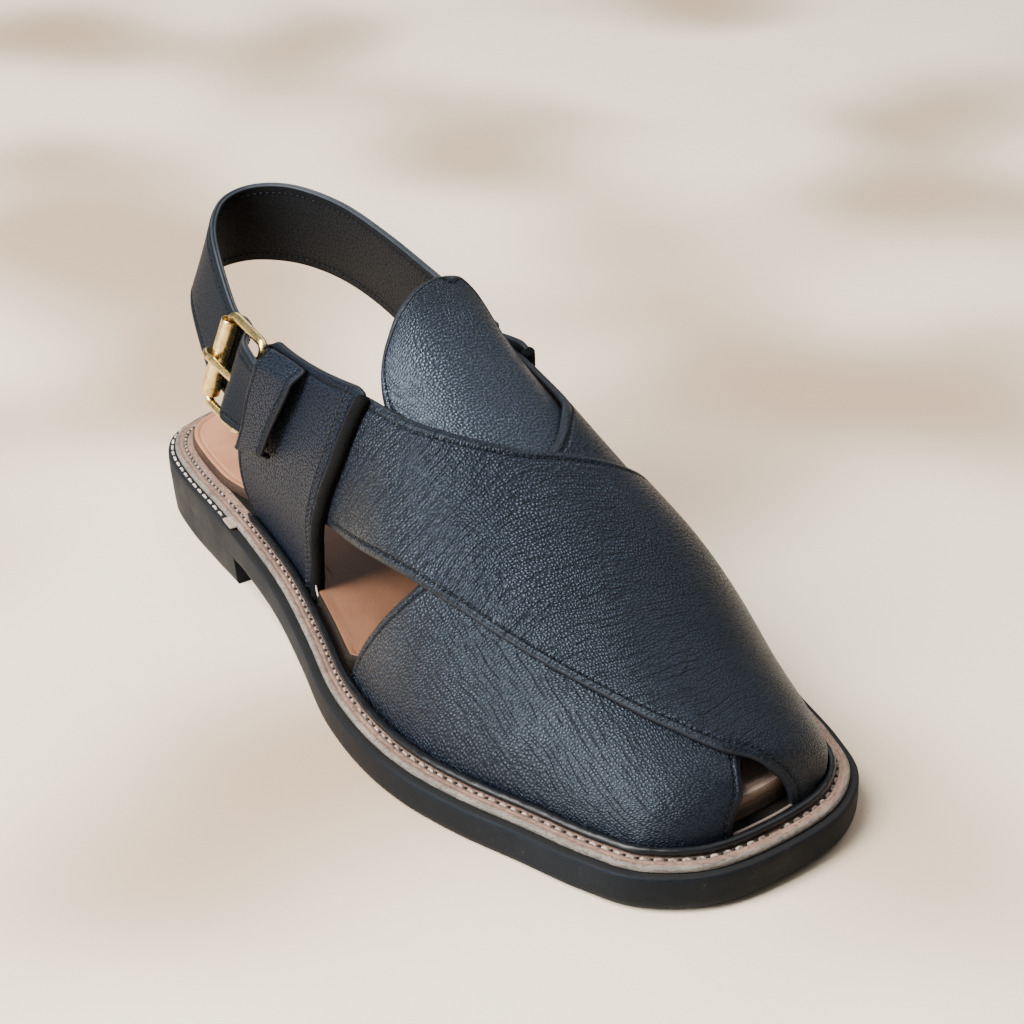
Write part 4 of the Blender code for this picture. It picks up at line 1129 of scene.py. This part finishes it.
def hide(name, dark, pale, shine, toe, depth=0.08, painted_shade=(0.42, 0.42, 0.4)):
    """Smooth leather with pores; past the heel a factor darkens it, painted shade under the upper, and at
    the toe a much paler mottled colour takes over, painted light in the shaded toe opening.
    """
    look = Look(name, Specular_IOR_Level=shine)
    grain = look.attribute("grain")
    pores = look.cells(grain, 1.25, 0.95, "3D")
    fine = look.noise(grain, 2.6, 4.0, 0.6)
    broad = look.noise(grain, 0.045, 4.0, 0.6)
    tone = look.times(fine, 0.4, look.times(broad, 0.7))
    colour = look.mix(look.span(tone, 0.3, 0.8), dark, pale)
    y = look.part(look.position(), "Y")
    # At the toe a much paler mottled colour: the footbed's own mottle, with painted light in the shaded toe
    # opening.
    toe_mottle_with_painted_light = look.mix(look.span(tone, 0.35, 0.75), shade(toe, 0.4), toe)
    # Forward of the heel the colour is multiplied down: painted shade under the upper.
    colour = look.mix(look.span(y, -0.07, -0.025), colour, look.stretch(colour, painted_shade))
    colour = look.mix(look.span(y, 0.098, 0.118), colour, toe_mottle_with_painted_light)
    height = look.times(fine, 0.7, look.span(pores, 0.0, 0.45))
    return look.finish(colour, look.span(fine, 0.3, 0.7, 0.5, 0.68), height, depth)


def rubber(name, dark, pale):
    """Matte black sole edge, ground along its length, with faint scuffs."""
    look = Look(name, Specular_IOR_Level=0.12, Specular_Tint=(0.7, 0.84, 1.0, 1.0))
    place = look.position()
    fine = look.noise(place, 2400.0, 3.0, 0.6)
    ground = look.noise(look.stretch(place, (300.0, 300.0, 3200.0)), 1.0, 3.0, 0.6)
    broad = look.noise(place, 45.0, 4.0, 0.6)
    scuffs = look.span(look.noise(look.stretch(place, (160.0, 160.0, 900.0)), 1.0, 6.0, 0.75), 0.64, 0.78)
    lines = look.noise(look.stretch(place, (90.0, 420.0, 160.0)), 1.0, 2.5, 0.6)
    nicks = look.noise(place, 110.0, 2.0)
    scratch = look.span(look.off(lines, 0.5), 0.004, 0.001)
    scratch = look.times(scratch, look.span(nicks, 0.55, 0.62))
    tone = look.times(ground, 0.35, look.times(broad, 0.6))
    colour = look.mix(look.span(tone, 0.25, 0.75), dark, pale)
    colour = look.mix(look.times(scuffs, 0.35), colour, shade(pale, 2.6))
    colour = look.mix(look.times(scratch, 0.25), colour, (0.1, 0.095, 0.09))
    height = look.times(fine, 0.5, ground)
    return look.finish(colour, look.span(broad, 0.3, 0.7, 0.55, 0.75), height, 0.06)


def brass(name):
    """Aged brass: bright on the worn highs, brown in the lows, with fine scratches."""
    look = Look(name, Metallic=1.0)
    place = look.position()
    broad = look.noise(place, 260.0, 5.0, 0.65)
    fine = look.noise(place, 2200.0, 3.0, 0.6)
    scratch = look.noise(look.stretch(place, (400.0, 2600.0, 700.0)), 1.0, 4.0, 0.7)
    tarnish = look.span(look.times(fine, 0.3, look.times(broad, 0.8)), 0.5, 0.72)
    colour = look.mix(tarnish, (0.66, 0.50, 0.21), (0.34, 0.235, 0.085))
    roughness = look.span(look.math("ADD", broad, scratch), 0.7, 1.3, 0.18, 0.36)
    return look.finish(colour, roughness, look.times(scratch, 0.7, fine), 0.009)


def thread(name, dark, pale, rough=0.75, shine=0.3):
    look = Look(name, Specular_IOR_Level=shine)
    place = look.position()
    twist = look.noise(place, 2600.0, 2.0)
    colour = look.mix(look.span(look.noise(place, 700.0, 3.0), 0.35, 0.65), dark, pale)
    return look.finish(colour, look.span(twist, 0.3, 0.7, rough - 0.1, rough + 0.1), twist, 0.1)


def make_looks():
    return {
        "leather": leather("navy_black_leather", (0.0012, 0.0017, 0.0033), (0.0092, 0.0127, 0.0215)),
        # The tongue's leather painted paler than the vamp's: painted light on the tongue.
        "tongue": leather("tongue_leather", (0.002, 0.0028, 0.0052), (0.0165, 0.0232, 0.038), depth=0.14,
                          crease=0.5, shine=0.42),
        # The quarter's leather painted a little paler and bluer than the vamp's: painted sheen in place of
        # what its low shine leaves out.
        "quarter": leather("quarter_leather", (0.0014, 0.002, 0.0038), (0.0105, 0.015, 0.0262), depth=0.17,
                           rough=(0.3, 0.6), crease=0.15, shine=0.1),
        "strap": leather("strap_leather", (0.0024, 0.0032, 0.0052), (0.0062, 0.0082, 0.0125), 0.7, 0.06,
                         (0.46, 0.62), 0.1, 0.1),
        "cut_edge": fibre("burnished_edge", (0.0024, 0.003, 0.0045), (0.0085, 0.0108, 0.0155), depth=0.08,
                          rough=(0.5, 0.7), shine=0.16),
        "edge_paint": fibre("painted_edge", (0.006, 0.008, 0.011), (0.022, 0.028, 0.036), depth=0.05,
                            rough=(0.4, 0.6), shine=0.22),
        "lining": leather("dark_lining", (0.0018, 0.0018, 0.0019), (0.0075, 0.0076, 0.0082), 0.9, 0.1,
                          (0.5, 0.66), 0.3, 0.14),
        "felt": fibre("black_binding", (0.0012, 0.0012, 0.0013), (0.0055, 0.0056, 0.006), (1.6, 1.6, 1.6),
                      0.3, (0.8, 0.95), shine=0.06),
        "shade": fibre("dark_shade", (0.003, 0.0024, 0.002), (0.01, 0.008, 0.007), shine=0.1),
        "welt": fibre("welt_leather", (0.06, 0.034, 0.025), (0.27, 0.165, 0.12), (0.35, 1.2, 1.2), 0.16,
                      dirt=0.8),
        "raw": fibre("raw_leather_edge", (0.036, 0.031, 0.027), (0.23, 0.2, 0.17), (0.3, 1.6, 1.6), 0.3,
                     dirt=0.9),
        "footbed": hide("tan_footbed", (0.24, 0.098, 0.046), (0.39, 0.17, 0.088), 0.3, (0.5, 0.34, 0.27)),
        "footbed_side": hide("footbed_edge", (0.012, 0.0065, 0.0045), (0.05, 0.028, 0.018), 0.15,
                             (0.2, 0.13, 0.095), depth=0.2, painted_shade=(0.2, 0.17, 0.16)),
        "rubber": rubber("black_sole_edge", (0.0027, 0.0031, 0.004), (0.0082, 0.0091, 0.011)),
        "rim": fibre("black_rim", (0.002, 0.002, 0.002), (0.008, 0.008, 0.0082), (1.0, 1.0, 1.0), 0.1,
                     shine=0.2),
        "bead": fibre("black_bead", (0.0018, 0.002, 0.0025), (0.007, 0.008, 0.0095), (0.2, 1.4, 1.4), 0.06,
                      rough=(0.22, 0.4), shine=0.2),
        "tab": fibre("leather_tab", (0.13, 0.095, 0.07), (0.38, 0.3, 0.235), depth=0.1),
        "pale": fibre("pale_strip", (0.05, 0.038, 0.032), (0.2, 0.155, 0.13), depth=0.05),
        "brass": brass("aged_brass"),
        "white": thread("white_thread", (0.24, 0.215, 0.185), (0.52, 0.48, 0.43)),
        "cream": thread("cream_thread", (0.11, 0.083, 0.07), (0.33, 0.265, 0.225)),
        "navy_thread": thread("navy_thread", (0.0025, 0.0033, 0.005), (0.0055, 0.0075, 0.0108), 0.6, 0.1),
        "dark_thread": thread("dark_thread", (0.0018, 0.0017, 0.0016), (0.006, 0.0056, 0.0054)),
    }


# --- studio ------------------------------------------------------------------------------------

CAMERA_AZIMUTH, CAMERA_ELEVATION, CAMERA_ROLL = 53.608, 28.539, -0.550
CAMERA_DISTANCE, CAMERA_LENS, SENSOR = 782.81, 80.85, 36.0
CAMERA_TARGET = (-62.207, -57.429, 0.0)
LIGHTS = (
    # name, towards x, y, z, then in metres its distance, width, height, then watts, colour
    ("key", 0.62, -0.03, 0.78, 1.6, 0.62, 1.6, 112.0, 1.0, 0.985, 0.96),
    ("side", 0.93, -0.2, 0.27, 1.6, 0.7, 0.6, 31.0, 0.96, 0.98, 1.0),
    ("back", -0.5, -0.8, 0.5, 1.9, 1.0, 1.0, 8.0, 0.95, 0.97, 1.0),
    ("top", -0.55, 0.05, 0.83, 1.6, 1.3, 1.3, 12.0, 0.96, 0.98, 1.0),
)
LIGHT_AIM = (0.0, 0.0, 40.0)
SKY, SKY_STRENGTH = (0.93, 0.97, 1.0, 1.0), 0.26
FLOOR_SIZE = 4.0            # half its width, in metres


def look_from(direction):
    back = unit(np.array(direction, float))
    right = unit(np.cross((0.0, 0.0, 1.0), back))
    return right, np.cross(back, right), back


def pose_matrix(right, up, back, place):
    rows = np.column_stack((right, up, back, metres(place)))
    return Matrix([*rows.tolist(), (0.0, 0.0, 0.0, 1.0)])


def build_studio():
    azimuth, elevation, roll = np.radians((CAMERA_AZIMUTH, CAMERA_ELEVATION, CAMERA_ROLL))
    right, up, back = look_from((math.cos(elevation) * math.cos(azimuth),
                                 math.cos(elevation) * math.sin(azimuth), math.sin(elevation)))
    turned = right * math.cos(roll) + up * math.sin(roll)
    upright = up * math.cos(roll) - right * math.sin(roll)
    lens = bpy.data.cameras.new("camera")
    lens.lens, lens.sensor_width = CAMERA_LENS, SENSOR
    lens.clip_start, lens.clip_end = 0.01, 20.0
    camera = bpy.data.objects.new("camera", lens)
    camera.matrix_world = pose_matrix(turned, upright, back,
                                      np.array(CAMERA_TARGET) + back * CAMERA_DISTANCE)
    scene = bpy.context.scene
    scene.collection.objects.link(camera)
    scene.camera = camera

    for name, x, y, z, distance, width, height, watts, *colour in LIGHTS:
        lamp = bpy.data.lights.new(name, "AREA")
        lamp.shape, lamp.size, lamp.size_y = "RECTANGLE", width, height
        lamp.energy, lamp.color = watts, colour
        obj = bpy.data.objects.new(name, lamp)
        axes = look_from((x, y, z))
        obj.matrix_world = pose_matrix(*axes, np.array(LIGHT_AIM) + axes[2] * distance / MM)
        scene.collection.objects.link(obj)

    world = bpy.data.worlds.new("studio")
    world.use_nodes = True
    sky = world.node_tree.nodes["Background"]
    sky.inputs["Color"].default_value = SKY
    sky.inputs["Strength"].default_value = SKY_STRENGTH
    scene.world = world


def build_floor():
    look = Look("paper_floor", Specular_IOR_Level=0.2)
    # Large soft blotches: partly the backdrop's own blotches, partly painted light and painted shade for the
    # uneven fall of light on the floor.
    blotches_and_painted_light = look.noise(look.position(), 6.5, 0.6, 0.4)
    paper = look.noise(look.position(), 900.0, 3.0, 0.6)
    colour = look.mix(look.span(blotches_and_painted_light, 0.3, 0.62), (0.40, 0.28, 0.185), (0.76, 0.645, 0.495))
    floor_look = look.finish(colour, look.span(paper, 0.2, 0.8, 0.75, 0.9), paper, 0.02)
    bm = bmesh.new()
    bmesh.ops.create_grid(bm, x_segments=2, y_segments=2, size=FLOOR_SIZE)
    data = bpy.data.meshes.new("floor")
    bm.to_mesh(data)
    bm.free()
    data.materials.append(floor_look)
    floor = bpy.data.objects.new("floor", data)
    bpy.context.scene.collection.objects.link(floor)


def main():
    looks = make_looks()
    welt_threads, threads = Mesh(), Mesh()
    build_studio()
    build_floor()
    build_outsole(looks, welt_threads)
    build_midsole(looks, welt_threads)
    build_insole(looks)
    build_loose_ends(looks)
    build_vamp(looks, threads)
    build_quarters(looks, threads)
    build_heel_strap(looks, threads)
    build_keeper(looks, threads)
    build_buckle(looks)
    welt_threads.piece("welt_stitching", [looks[name] for name in ("white", "cream", "dark_thread")])
    threads.piece("upper_stitching", [looks[name] for name in ("navy_thread", "dark_thread")])


main()
